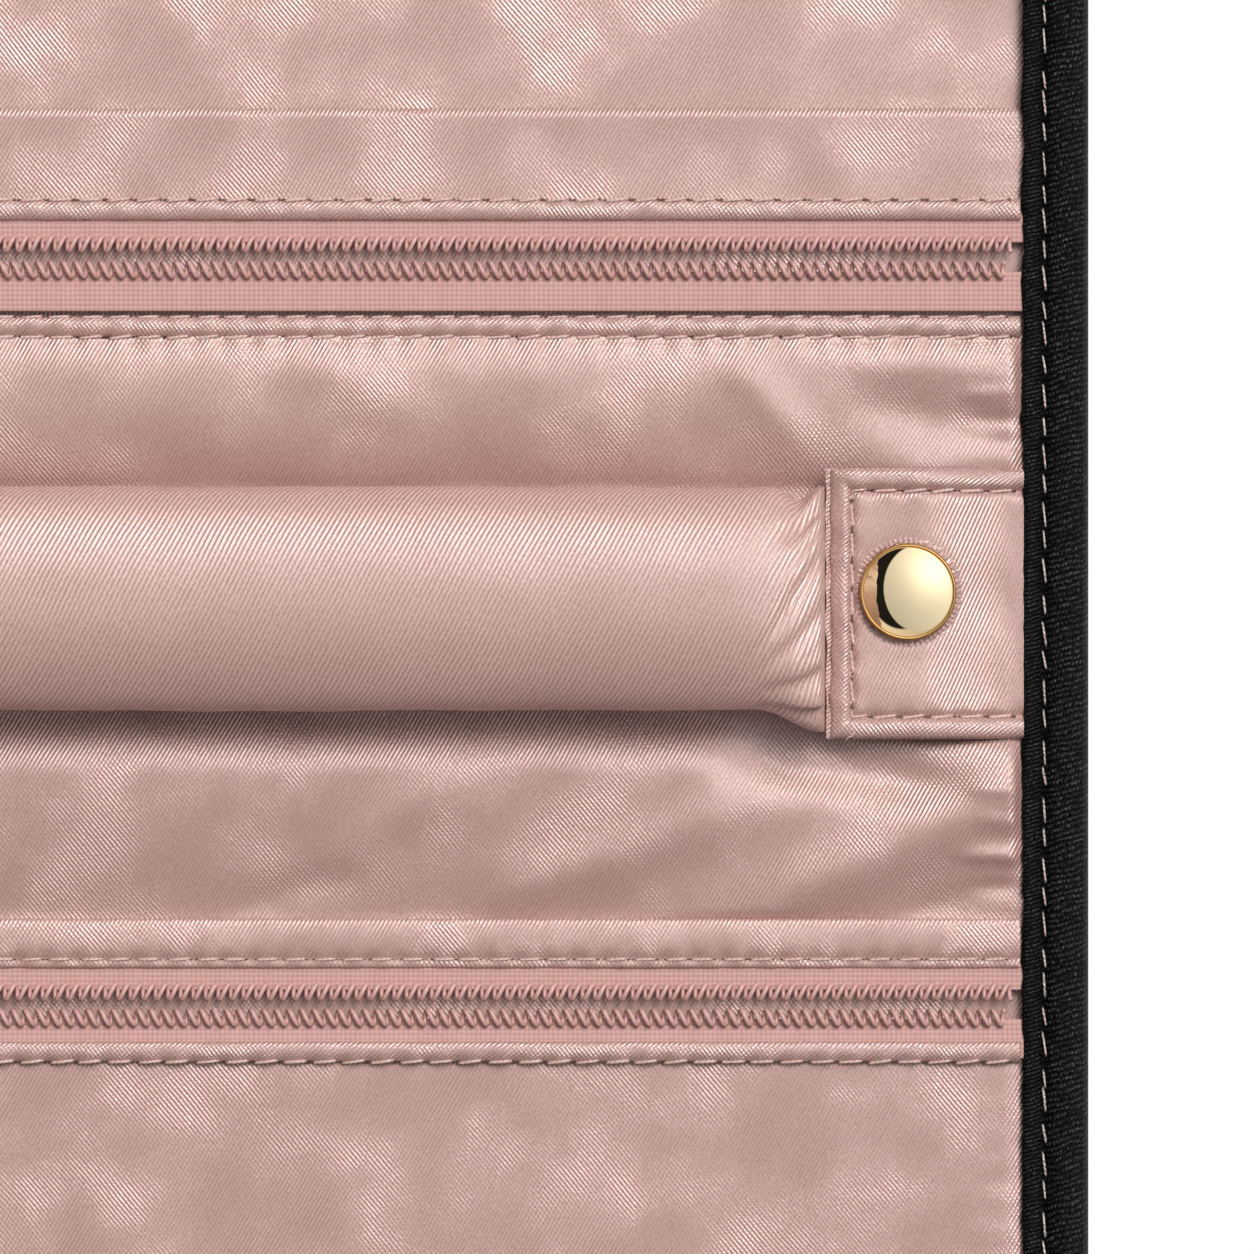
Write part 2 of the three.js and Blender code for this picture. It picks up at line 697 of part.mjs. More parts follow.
function addNecklaceStrap(index) {
  const x = (index - (strapCount - 1) / 2) * strapPitch;
  const root = panelDepth - strapRootFromEdge;
  const snapY = root - strapSnapFromRoot;
  const side = flapProfile(strapLength, strapSlope, seatLevel, seatLevel + plyRise, flapThickness, 0);
  const strap = extrude(side, -strapWidth / 2, strapWidth / 2, 4);
  strap.rotateX(Math.PI / 2).rotateZ(-Math.PI / 2);
  const number = index + 1;
  addPiece(necklaceSide, 'necklace_strap_' + number, strap, satin).position.set(x, root, 0);
  addPiece(necklaceSide, 'strap_stud_' + number, studGeometry(), gold).position.set(x, snapY, seatLevel);
  const socket = addPiece(necklaceSide, 'strap_socket_' + number, socketGeometry(socketHeight), gold);
  socket.position.set(x, snapY, seatLevel + socketRise);
  addSnapCap(necklaceSide, 'strap_cap_' + number, x, snapY, seatLevel + plyRise + flapThickness);
}

for (let index = 0; index < strapCount; index++) {
  addNecklaceStrap(index);
}

// Closure strap: it rounds the open side of the folded case and snaps onto the ring side's back
const halfClosure = closureWidth / 2;
const strapSide = block(-halfClosure, halfClosure, closureRoot, tipRoot - gap, closureLow, closureTop);
addPiece(organizer, 'closure_strap', strapSide, bindingCloth);
const tipShape = new THREE.Shape();
tipShape.moveTo(-halfClosure, tipRoot);
tipShape.lineTo(halfClosure, tipRoot);
tipShape.lineTo(halfClosure, tipEnd - halfClosure);
tipShape.absarc(0, tipEnd - halfClosure, halfClosure, 0, Math.PI);
addPiece(organizer, 'closure_tip', extrude(tipShape, closureLow, closureTop, 10), bindingCloth);
const closureSnap = tipRoot + gap + closureSnapInset;
addPiece(organizer, 'closure_post', studGeometry(), gold).position.set(0, closureSnap, closureTop + gap);
const closureCap = addPiece(organizer, 'closure_cap', capGeometry(), gold);
closureCap.rotation.x = Math.PI;
closureCap.position.set(0, closureSnap, closureLow - gap);

export default organizer;
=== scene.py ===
import math

import bmesh
import bpy
import numpy as np
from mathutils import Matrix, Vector


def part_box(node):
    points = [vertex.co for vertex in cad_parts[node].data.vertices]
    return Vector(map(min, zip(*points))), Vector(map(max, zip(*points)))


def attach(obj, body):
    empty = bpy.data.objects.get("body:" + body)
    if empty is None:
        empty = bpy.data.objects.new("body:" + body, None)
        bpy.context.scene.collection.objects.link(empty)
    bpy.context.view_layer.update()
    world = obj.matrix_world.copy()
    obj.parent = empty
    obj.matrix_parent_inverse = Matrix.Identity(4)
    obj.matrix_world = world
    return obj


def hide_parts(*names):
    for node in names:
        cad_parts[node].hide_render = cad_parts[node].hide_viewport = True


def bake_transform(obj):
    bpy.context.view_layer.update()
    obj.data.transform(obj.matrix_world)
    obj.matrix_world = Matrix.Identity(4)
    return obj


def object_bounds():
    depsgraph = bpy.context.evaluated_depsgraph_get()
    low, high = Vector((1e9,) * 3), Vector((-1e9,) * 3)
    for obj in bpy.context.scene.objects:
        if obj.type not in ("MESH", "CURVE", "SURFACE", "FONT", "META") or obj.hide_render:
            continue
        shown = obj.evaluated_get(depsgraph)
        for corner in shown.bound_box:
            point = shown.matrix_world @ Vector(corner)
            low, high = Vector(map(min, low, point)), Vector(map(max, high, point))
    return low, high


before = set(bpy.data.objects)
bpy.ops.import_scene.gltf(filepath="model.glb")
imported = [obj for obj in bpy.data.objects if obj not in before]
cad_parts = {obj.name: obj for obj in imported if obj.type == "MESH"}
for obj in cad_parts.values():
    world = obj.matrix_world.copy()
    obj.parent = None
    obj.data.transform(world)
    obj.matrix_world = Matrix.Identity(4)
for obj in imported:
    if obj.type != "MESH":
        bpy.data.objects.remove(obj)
cadLow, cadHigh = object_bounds()

# Lengths here are millimetres about the ring bar's centreline: x across the case, y up the photograph and
# z off the table
mm = 0.001
barLow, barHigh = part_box("ring_bar_anchor")
barY = (barLow.y + barHigh.y) / 2


def nodeBox(name):
    low, high = (np.array(corner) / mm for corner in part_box(name))
    low[1] -= barY / mm
    high[1] -= barY / mm
    return low, high


def footprint(name):
    low, high = nodeBox(name)
    return low[0], high[0], low[1], high[1]


def top(name):
    return nodeBox(name)[1][2]


halfWidth = nodeBox("binding_a")[1][0]
bindingInner = nodeBox("spine_binding_right")[0][0]
foldA = (nodeBox("binding_a")[1][1] + nodeBox("spine_cover")[0][1]) / 2
foldB = (nodeBox("spine_cover")[1][1] + nodeBox("binding_b")[0][1]) / 2
freeA = nodeBox("binding_a")[0][1]
freeB = nodeBox("binding_b")[1][1]
midSpine = (foldA + foldB) / 2
edgeTop = top("binding_a")
sheetTop = top("ring_panel")
case = {"corner": 16, "foldEase": 5, "edgeUnderBinding": 3.1}
# The two sides of the case; cloth that runs over a fold is left unattached to either side's body
caseSides = {
    "a": {
        "body": "ring_side", "free": freeA, "fold": foldA, "inward": 1,
        "bend": ("ring_side", "spine", foldA - case["foldEase"], foldA + case["foldEase"]),
    },
    "b": {
        "body": "necklace_side", "free": freeB, "fold": foldB, "inward": -1,
        "bend": ("spine", "necklace_side", foldB - case["foldEase"], foldB + case["foldEase"]),
    },
}


# Shading

class Field:
    # one output socket, so that maths on it reads as a plain expression
    def __init__(self, shader, socket):
        self.shader, self.socket = shader, socket

    def maths(self, operation, *values, clamp=False):
        settings = {"operation": operation, "use_clamp": clamp}
        return self.shader.node("ShaderNodeMath", settings, dict(enumerate(values)))

    def __add__(self, other):
        return self.maths("ADD", self, other)

    def __sub__(self, other):
        return self.maths("SUBTRACT", self, other)

    def __mul__(self, other):
        return self.maths("MULTIPLY", self, other)

    def __truediv__(self, other):
        return self.maths("DIVIDE", self, other)

    def __pow__(self, other):
        return self.maths("POWER", self, other)

    def __rsub__(self, other):
        return self.maths("SUBTRACT", other, self)

    def __rpow__(self, other):
        return self.maths("POWER", other, self)

    __radd__ = __add__
    __rmul__ = __mul__

    def wave(self):  # from 0 to 1 and back, once for each whole number
        return 0.5 + 0.5 * self.maths("SINE", self * (2 * math.pi))

    def clamped(self):
        return self.maths("ADD", self, 0, clamp=True)

    def squared(self):
        return self * self

    def floor(self):
        return self.maths("FLOOR", self)


class Shader:
    # the nodes of a material or the world: its surface, its output, and one method for every other node
    def __init__(self, owner, surface="ShaderNodeBsdfPrincipled", output="ShaderNodeOutputMaterial"):
        owner.use_nodes = True
        self.owner, self.tree = owner, owner.node_tree
        self.tree.nodes.clear()
        self.surface, self.output = self.tree.nodes.new(surface), self.tree.nodes.new(output)
        self.tree.links.new(self.surface.outputs[0], self.output.inputs["Surface"])

    def plug(self, socket, value):
        # a link, a colour or a number into one socket
        if isinstance(value, Field):
            self.tree.links.new(value.socket, socket)
        elif socket.type == "RGBA" and len(value) == 3:
            socket.default_value = (*value, 1)
        else:
            socket.default_value = value

    def node(self, kind, settings, sockets, output=0):
        made = self.tree.nodes.new(kind)
        for key, value in settings.items():
            setattr(made, key, value)
        for key, value in sockets.items():
            self.plug(made.inputs[key], value)
        return Field(self, made.outputs[output])

    def set(self, **values):
        for key, value in values.items():
            self.plug(self.surface.inputs[key.replace("_", " ")], value)

    def attribute(self, name, output="Vector"):
        return self.node("ShaderNodeAttribute", {"attribute_name": name}, {}, output)

    def axis(self, vector, output):
        return self.node("ShaderNodeSeparateXYZ", {}, {"Vector": vector}, output)

    def vector(self, x, y, z=0.0):
        return self.node("ShaderNodeCombineXYZ", {}, {"X": x, "Y": y, "Z": z})

    def noise(self, vector, scale, detail=2, roughness=0.5):
        sockets = {"Vector": vector, "Scale": scale, "Detail": detail, "Roughness": roughness}
        return self.node("ShaderNodeTexNoise", {}, sockets)

    def mix(self, factor, first, second):
        settings = {"data_type": "RGBA", "clamp_factor": True}
        return self.node("ShaderNodeMix", settings, {0: factor, 6: first, 7: second}, 2)

    def bump(self, height, strength, depth):
        sockets = {"Height": height, "Strength": strength, "Distance": depth * mm}
        return self.node("ShaderNodeBump", {}, sockets)


def satinMaterial(name, look):
    # twill ridges painted a paler colour over a deeper ground as painted sheen (glint), and made partly
    # metallic, crossed here and there by a second diagonal
    s = Shader(bpy.data.materials.new(name))
    weave = s.attribute("weave")
    u, v = s.axis(weave, "X"), s.axis(weave, "Y")
    drift = s.noise(weave, look["driftScale"], 1)
    turn = math.radians(look["angle"])
    across = v * math.cos(turn) - u * math.sin(turn) + look["drift"] * drift
    along = u * math.cos(turn) + v * math.sin(turn)
    rib = across / look["pitch"]
    ridge = rib.wave() ** look["sharpness"]
    counter = math.radians(look["counterAngle"])
    crossed = (v * math.cos(counter) - u * math.sin(counter) + look["drift"] * drift) / look["counterPitch"]
    scale, gain, cut = look["patches"]
    share = (s.noise(weave, scale) * gain - cut).clamped() * look["counter"]
    speck = s.noise(s.vector(rib * look["speckAcross"], along * look["speckAlong"]), 1.0, 2, 0.65) - 0.5
    fuzz = s.noise(weave, look["fuzzScale"], 2, 0.7) - 0.5
    yarn = ridge * (1 - share) + crossed.wave() * share
    glint = (yarn * look["contrast"] + look["floor"] + speck * look["speck"] + fuzz * look["fuzz"]).clamped()
    # painted uneven sheen: random cloudy patches then turn the colour towards a duller, darker tone
    scale, gain, cut = look["clouds"]
    cloud = (s.noise(weave, scale, 3) * gain - cut).clamped() * look["cloud"]
    # painted sheen: where glint is high, the ground colour turns to the paler ridge colour
    cloth = s.mix(cloud, s.mix(glint, look["valley"], look["ridge"]), look["shade"])
    s.set(Base_Color=cloth, Metallic=glint * look["metal"])
    s.set(Roughness=look["roughness"] - look["polish"] * glint)
    s.set(Specular_IOR_Level=look["specular"], IOR=look["ior"])
    s.set(Normal=s.bump(yarn + speck * 0.5, look["bump"], look["depth"]))
    return s.owner


satinLook = {
    "pitch": 0.39, "angle": 60, "sharpness": 1.3, "drift": 0.6, "driftScale": 0.09, "counterAngle": -50,
    "counterPitch": 0.385, "counter": 0.6, "contrast": 0.85, "floor": 0.1, "speck": 1.6, "speckAcross": 1.7,
    "speckAlong": 2.6, "fuzz": 1.3, "fuzzScale": 3.8, "cloud": 0.2,
    # clouds: noise for random patches painted towards the shade colour, a duller, darker sheen
    "patches": (0.11, 3, 1.1), "clouds": (0.05, 2.4, 0.9),  # noise scale, gain, cut
    # valley: the ground's own colour; ridge: the paler colour painted on glinting yarn as sheen
    "valley": (0.352, 0.168, 0.139), "ridge": (0.67, 0.445, 0.405), "shade": (0.40, 0.21, 0.175),
    "metal": 0.38, "roughness": 0.42, "polish": 0.08, "specular": 1.0, "ior": 1.8, "bump": 0.8, "depth": 0.08,
}
# bar satin: a coarser, steeper twill, and valley and ridge colours painted lighter than the panels', a lit
# copy of the same satin
barLook = {
    **satinLook, "pitch": 0.485, "angle": 63, "counter": 0.12, "sharpness": 1.2, "contrast": 0.95,
    "fuzz": 1.1, "valley": (0.385, 0.185, 0.153), "ridge": (0.71, 0.485, 0.44), "metal": 0.14, "depth": 0.1,
}
# flap satin: its own twill angle, and a higher floor, so more of its yarn takes the painted sheen colour; a
# lit copy of the same satin
flapLook = {**satinLook, "angle": 65, "counter": 0.25, "speck": 1.3, "fuzz": 1.6, "floor": 0.2}
hemLook = {
    **satinLook, "pitch": 0.34, "angle": 38, "counter": 0.8, "counterPitch": 0.36, "counterAngle": -52,
    "contrast": 0.4, "floor": 0.31, "speck": 1.8, "fuzz": 2.6, "fuzzScale": 4.6, "ridge": (0.65, 0.45, 0.41),
}


def threadMaterial(name, look):
    s = Shader(bpy.data.materials.new(name))
    lay = s.attribute("weave")
    turn, along = s.axis(lay, "X"), s.axis(lay, "Y")
    twist = (turn + along / look["twist"]).wave()
    sunk = s.attribute("sunk", "Fac")
    fibre = s.noise(lay, 3.0, 3)
    light = (0.3 + 0.45 * twist + look["patchy"] * (fibre - 0.5)).clamped()
    colour = s.mix(light, look["dark"], look["light"])
    # painted shade: where the thread sinks into the cloth, and in the dents round needle holes, its colour
    # turns to the dark hole colour
    s.set(Base_Color=s.mix(sunk, colour, look["hole"]), Roughness=0.6 - 0.15 * twist, Sheen_Weight=0.2)
    s.set(Normal=s.bump(twist, 0.6, 0.04))
    return s.owner


# hole: the colour of painted shade at sunk thread ends and needle-hole dents
pinkThread = {
    "twist": 0.55, "patchy": 0.6,
    "dark": (0.40, 0.23, 0.20), "light": (0.74, 0.56, 0.52), "hole": (0.10, 0.035, 0.025),
}
paleThread = {
    "twist": 0.5, "patchy": 2.6,
    "dark": (0.10, 0.07, 0.065), "light": (0.78, 0.64, 0.60), "hole": (0.004, 0.003, 0.003),
}
blackThread = {
    "twist": 0.5, "patchy": 0.4,
    "dark": (0.012, 0.012, 0.012), "light": (0.05, 0.05, 0.05), "hole": (0.004, 0.004, 0.004),
}


def ribbedMaterial(name, look):
    # fine ribs across the tape, broken into knots, with glints painted on them one by one
    s = Shader(bpy.data.materials.new(name))
    weave = s.attribute("weave")
    u, v = s.axis(weave, "X"), s.axis(weave, "Y")
    sway = s.noise(weave, 0.35, 2)
    rib = (v + look["lean"] * u + look["sway"] * (sway - 0.5)) / look["pitch"]
    ridge = rib.wave()
    knot = (u / look["knot"] + rib.floor() * 0.37 + sway * 2).wave()
    speck = s.noise(s.vector(u * 2.4, rib * 1.3), 1.3, 3, 0.75)
    patch = s.noise(weave, 0.5, 2)
    glint = ((speck * 4.2 - 1.9) * ridge * (0.3 + 0.7 * knot) * (patch * 2.4 - 0.4).clamped()).clamped()
    colour = s.mix((ridge * 0.6 + knot * 0.3).clamped(), look["dark"], look["light"])
    # painted glints: bright specks on the ridges, in patches, take the glint colour
    colour = s.mix(glint, colour, look["paintedGlint"])
    # painted shade: the sunk attribute darkens the tape's groove and edges to the dark colour
    colour = s.mix(s.attribute("sunk", "Fac"), colour, look["dark"])
    s.set(Base_Color=colour, Roughness=look["roughness"] - 0.15 * glint, Specular_IOR_Level=look["specular"])
    s.set(Normal=s.bump(ridge * (0.5 + 0.5 * knot) + 0.6 * speck, look["bump"], look["depth"]))
    return s.owner


bindingLook = {
    "pitch": 0.62, "lean": 0.25, "knot": 0.42, "sway": 0.9, "roughness": 0.62, "bump": 1.0, "depth": 0.22,
    "specular": 0.08,
    "dark": (0.0005, 0.0005, 0.0005), "light": (0.0025, 0.0027, 0.0027), "paintedGlint": (0.17, 0.18, 0.18),
}
# lip: the same ribbed tape with finer ribs, coloured lighter as painted highlight on its raised crest
litLipLook = {**bindingLook, "pitch": 0.44, "knot": 0.34, "sway": 0.5, "light": (0.005, 0.0053, 0.0053)}


def wovenMaterial(name, look):
    s = Shader(bpy.data.materials.new(name))
    weave = s.attribute("weave")
    u, v = s.axis(weave, "X") / look["pitch"], s.axis(weave, "Y") / look["pitch"]
    warp, weft = u.wave(), v.wave()
    over = ((u.floor() + v.floor()) * 0.5).wave()
    height = warp * over + weft * (1 - over)
    slub = s.noise(s.vector(u * 0.3, v * 0.05), 1.0, 3)
    colour = s.mix((height * 0.6 + slub * 0.5 - 0.1).clamped(), look["dark"], look["light"])
    s.set(Base_Color=colour, Roughness=look["roughness"] - 0.1 * height, Sheen_Weight=look["sheen"])
    s.set(Normal=s.bump(height + slub * 0.4, look["bump"], look["depth"]))
    return s.owner


coverLook = {
    "pitch": 0.55, "dark": (0.005, 0.005, 0.006), "light": (0.017, 0.017, 0.018),
    "roughness": 0.72, "sheen": 0.05, "bump": 0.7, "depth": 0.12,
}
tapeLook = {
    "pitch": 0.5, "dark": (0.42, 0.225, 0.20), "light": (0.60, 0.36, 0.325),
    "roughness": 0.75, "sheen": 0.1, "bump": 0.7, "depth": 0.1,
}
foamLook = {
    "pitch": 0.8, "dark": (0.62, 0.6, 0.54), "light": (0.86, 0.84, 0.78),
    "roughness": 0.9, "sheen": 0.0, "bump": 0.5, "depth": 0.2,
}


def goldMaterial(name, look):
    s = Shader(bpy.data.materials.new(name))
    place = s.node("ShaderNodeTexCoord", {}, {}, "Object")
    smudge = s.noise(place, 190, 3)
    fine = s.noise(place, 900, 2)
    s.set(Base_Color=s.mix(smudge, look["deep"], look["bright"]), Metallic=1.0)
    s.set(Roughness=look["roughness"] + look["smudge"] * smudge)
    s.set(Normal=s.bump(fine, look["scuff"], 0.004))
    return s.owner


capLook = {
    "deep": (0.92, 0.74, 0.45), "bright": (0.97, 0.82, 0.55),
    "roughness": 0.0, "smudge": 0.002, "scuff": 0.02,
}
# the rim's deep copper colour is painted shade at the cap's edge, darker than the dome's gold
shadedRimLook = {
    "deep": (0.40, 0.20, 0.06), "bright": (0.66, 0.42, 0.17),
    "roughness": 0.24, "smudge": 0.1, "scuff": 0.1,
}
hardwareLook = {
    "deep": (0.90, 0.71, 0.41), "bright": (0.97, 0.82, 0.54),
    "roughness": 0.14, "smudge": 0.12, "scuff": 0.1,
}


def coilMaterial(name):
    s = Shader(bpy.data.materials.new(name))
    grain = s.noise(s.attribute("weave"), 2.0, 2)
    s.set(Base_Color=s.mix(grain, (0.5, 0.27, 0.24), (0.66, 0.40, 0.37)), Roughness=0.3 + 0.15 * grain)
    s.set(Coat_Weight=0.15, Normal=s.bump(grain, 0.1, 0.02))
    return s.owner


materials = {
    "satin": satinMaterial("dustySatin", satinLook),
    "bar": satinMaterial("barSatin", barLook),
    "flap": satinMaterial("flapSatin", flapLook),
    "hem": satinMaterial("hemSatin", hemLook),
    "thread": threadMaterial("pinkThread", pinkThread),
    "paleThread": threadMaterial("paleThread", paleThread),
    "blackThread": threadMaterial("blackThread", blackThread),
    "binding": ribbedMaterial("ribbedTape", bindingLook),
    "lip": ribbedMaterial("litTapeLip", litLipLook),
    "cover": wovenMaterial("coverCloth", coverLook),
    "tape": wovenMaterial("zipTape", tapeLook),
    "foam": wovenMaterial("foamSheet", foamLook),
    "cap": goldMaterial("polishedCap", capLook),
    "rim": goldMaterial("shadedCapRim", shadedRimLook),
    "hardware": goldMaterial("goldHardware", hardwareLook),
    "coil": coilMaterial("nylonCoil"),
}
slots = dict.fromkeys(("bar", "flap", "hem", "thread", "paleThread"), "satin")
slots |= dict.fromkeys(("blackThread", "lip"), "binding") | dict.fromkeys(("tape", "coil"), "zip_tape")
slots |= dict.fromkeys(("cap", "rim", "hardware"), "gold")
print("materials:", len(materials))


# Meshes

def toFrame(points):
    world = np.array(points, float) * mm
    world[..., 1] += barY
    return world


def layOn(mesh, name, kind, field, values):
    mesh.attributes.new(name, kind, "POINT").data.foreach_set(field, np.array(values, np.float32).ravel())


def addMesh(name, points, faces, look, body, weave=None, sunk=None, replaces=(), second=None):
    mesh = bpy.data.meshes.new(name)
    points = np.array(points, float).reshape(-1, 3)
    mesh.from_pydata(toFrame(points).tolist(), [], [list(map(int, f)) for f in faces])
    layOn(mesh, "weave", "FLOAT_VECTOR", "vector", points if weave is None else weave)
    if sunk is not None:
        layOn(mesh, "sunk", "FLOAT", "value", sunk)
    mesh.shade_smooth()
    mesh.materials.append(materials[look])
    if second is not None:  # another look, and which faces take it
        mesh.materials.append(materials[second[0]])
        mesh.polygons.foreach_set("material_index", np.array(second[1], np.int32))
    piece = bpy.data.objects.new(name, mesh)
    bpy.context.scene.collection.objects.link(piece)
    if replaces:
        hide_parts(*replaces)
    if isinstance(body, str):
        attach(piece, body)
    else:
        bodyA, bodyB, start, end = body
        toFrame([0, start, edgeTop])
        toFrame([0, end, edgeTop])
        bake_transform(piece)
    return piece


def gridFaces(rows, columns, start=0, closeRows=False, flip=False):
    r = np.arange(rows if closeRows else rows - 1)
    c = np.arange(columns - 1)
    a = (start + r[:, None] * columns + c[None, :]).ravel()
    d = (start + ((r + 1) % rows)[:, None] * columns + c[None, :]).ravel()
    quads = np.stack([a, a + 1, d + 1, d], 1)
    return quads[:, ::-1] if flip else quads


def tubeFaces(rows, around, start=0, flip=False):
    # quads between rings of points, and a face on each end
    index = start + np.arange(rows * around).reshape(rows, around)
    after = np.roll(index, -1, 1)
    quads = np.stack([index[:-1], index[1:], after[1:], after[:-1]], -1).reshape(-1, 4)
    if flip:
        return quads[:, [0, 3, 2, 1]].tolist() + [index[0, ::-1].tolist(), index[-1].tolist()]
    return quads.tolist() + [index[0].tolist(), index[-1, ::-1].tolist()]


def outward(piece, weld=False):
    # faces turned outward, and points that lie on each other joined first where asked
    bm = bmesh.new()
    bm.from_mesh(piece.data)
    if weld:
        bmesh.ops.remove_doubles(bm, verts=bm.verts, dist=1e-7)
    bmesh.ops.recalc_face_normals(bm, faces=bm.faces)
    bm.to_mesh(piece.data)
    bm.free()


def reachAlong(path):
    # the distance from a path's start to each of its points
    return np.concatenate([[0], np.cumsum(np.linalg.norm(np.diff(path, axis=0), axis=1))])


def spread(low, high, step, roll=0.0):
    # even steps, with finer ones where an edge of this roll radius turns under
    turn = roll * (1 - np.cos(np.linspace(0, math.pi / 2, 5)[:-1])) if roll else np.array([])
    middle = np.linspace(low + roll, high - roll, max(2, int(round(abs(high - low) / step)) + 1))
    return np.concatenate([low + turn, middle, high - turn[::-1]])


def smoothStep(low, high, x):
    t = np.clip((x - low) / (high - low), 0, 1)
    return t * t * (3 - 2 * t)


def hump(x, centre, width):
    return np.exp(-((x - centre) / width) ** 2)


def ripple(x, y, seed, wavelength, count=7):
    rng = np.random.default_rng(seed)
    total = 0.0 * x
    for _ in range(count):
        turn, phase = rng.uniform(0, 2 * math.pi, 2)
        k = 2 * math.pi / (wavelength * rng.uniform(0.7, 1.6))
        total = total + np.sin(k * (x * math.cos(turn) + y * math.sin(turn)) + phase)
    return total / math.sqrt(count)


def crease(x, y, fold):
    # a soft fold of the cloth from one point to another, fading at both ends
    ax, ay, bx, by, width, height = fold
    dx, dy = bx - ax, by - ay
    length = math.hypot(dx, dy)
    along = ((x - ax) * dx + (y - ay) * dy) / length
    off = ((x - ax) * dy - (y - ay) * dx) / length
    fade = smoothStep(-0.15 * length, 0.3 * length, along)
    fade = fade * (1 - smoothStep(0.7 * length, 1.2 * length, along))
    return height * fade * hump(off, 0, width)


def rollOff(distance, roll):
    return roll * (1 - np.sqrt(1 - (1 - np.clip(distance / roll, 0, 1)) ** 2))


def clothPatch(name, x, y, upper, lower, look, body, border=None, **more):
    # a grid of points with the heights of the cloth's upper and lower faces, closed round its rim
    rows, columns = x.shape
    size = rows * columns
    points = np.concatenate([np.stack([x, y, z], -1).reshape(-1, 3) for z in (upper, lower)])
    lay = np.concatenate([points[:size]] * 2)
    grid = np.arange(size).reshape(rows, columns)
    rim = np.concatenate([grid[0, :-1], grid[:-1, -1], grid[-1, :0:-1], grid[:0:-1, 0]])
    after = np.roll(rim, -1)
    walls = np.stack([rim, rim + size, after + size, after], 1)
    faces = np.concatenate([gridFaces(rows, columns), gridFaces(rows, columns, size, flip=True), walls])
    if border is not None:
        inBorder = np.concatenate([border[1].ravel()] * 2)[faces].mean(1) > 0.5
        more["second"] = (border[0], inBorder)
    return addMesh(name, points, faces, look, body, lay, **more)


def rectangle(name, box, heights, thickness, look, body, step=1.0, roll=0.0, **more):
    x0, x1, y0, y1 = box
    x, y = np.meshgrid(spread(x0, x1, step, roll), spread(y0, y1, step, roll))
    z = heights(x, y)
    inside = np.minimum.reduce([x - x0, x1 - x, y - y0, y1 - y])
    dip = rollOff(inside, roll) if roll else 0 * x
    lower = z - thickness + np.minimum(dip, thickness / 2 - 0.01)
    return clothPatch(name, x, y, z - dip, lower, look, body, **more)


def outlineSpan(y, inset, side):
    # half the width of a panel at y: full over its length, rounded in at its free corners
    reach = np.abs(y - caseSides[side]["free"]) - inset
    radius = case["corner"] - inset
    drop = np.clip(radius - reach, 0, radius)
    return halfWidth - inset - radius + np.sqrt(radius ** 2 - drop ** 2)


def panelSheet(name, side, low, high, inset, heights, thickness, look, body, step=1.0, under=None, **more):
    # a sheet cut to the panel's outline between two distances up the photograph
    free, inward = caseSides[side]["free"], caseSides[side]["inward"]
    radius = case["corner"] - inset
    corner = free + inward * (inset + radius * (1 - np.cos(np.linspace(0, math.pi / 2, 12))))
    y = np.unique(np.round(np.concatenate([spread(low, high, step), corner]), 4))
    y = y[(y >= low - 1e-6) & (y <= high + 1e-6)]
    span = outlineSpan(y, inset, side)
    s = np.linspace(-1, 1, int(2 * (halfWidth - inset) / step) + 1)
    x = span[:, None] * s[None, :]
    y = np.broadcast_to(y[:, None], x.shape)
    z = heights(x, y)
    lower = z - thickness if under is None else under(x, y)
    return clothPatch(name, x, y, z, lower, look, body, **more)


loop = {"sides": 6, "steps": 13, "arch": 0.4, "waist": 0.75}
dent = {"sides": 8, "long": 1.3, "wide": 0.75, "levels": ((-0.3, 0.8), (0.15, 1.0), (0.25, 0.6))}


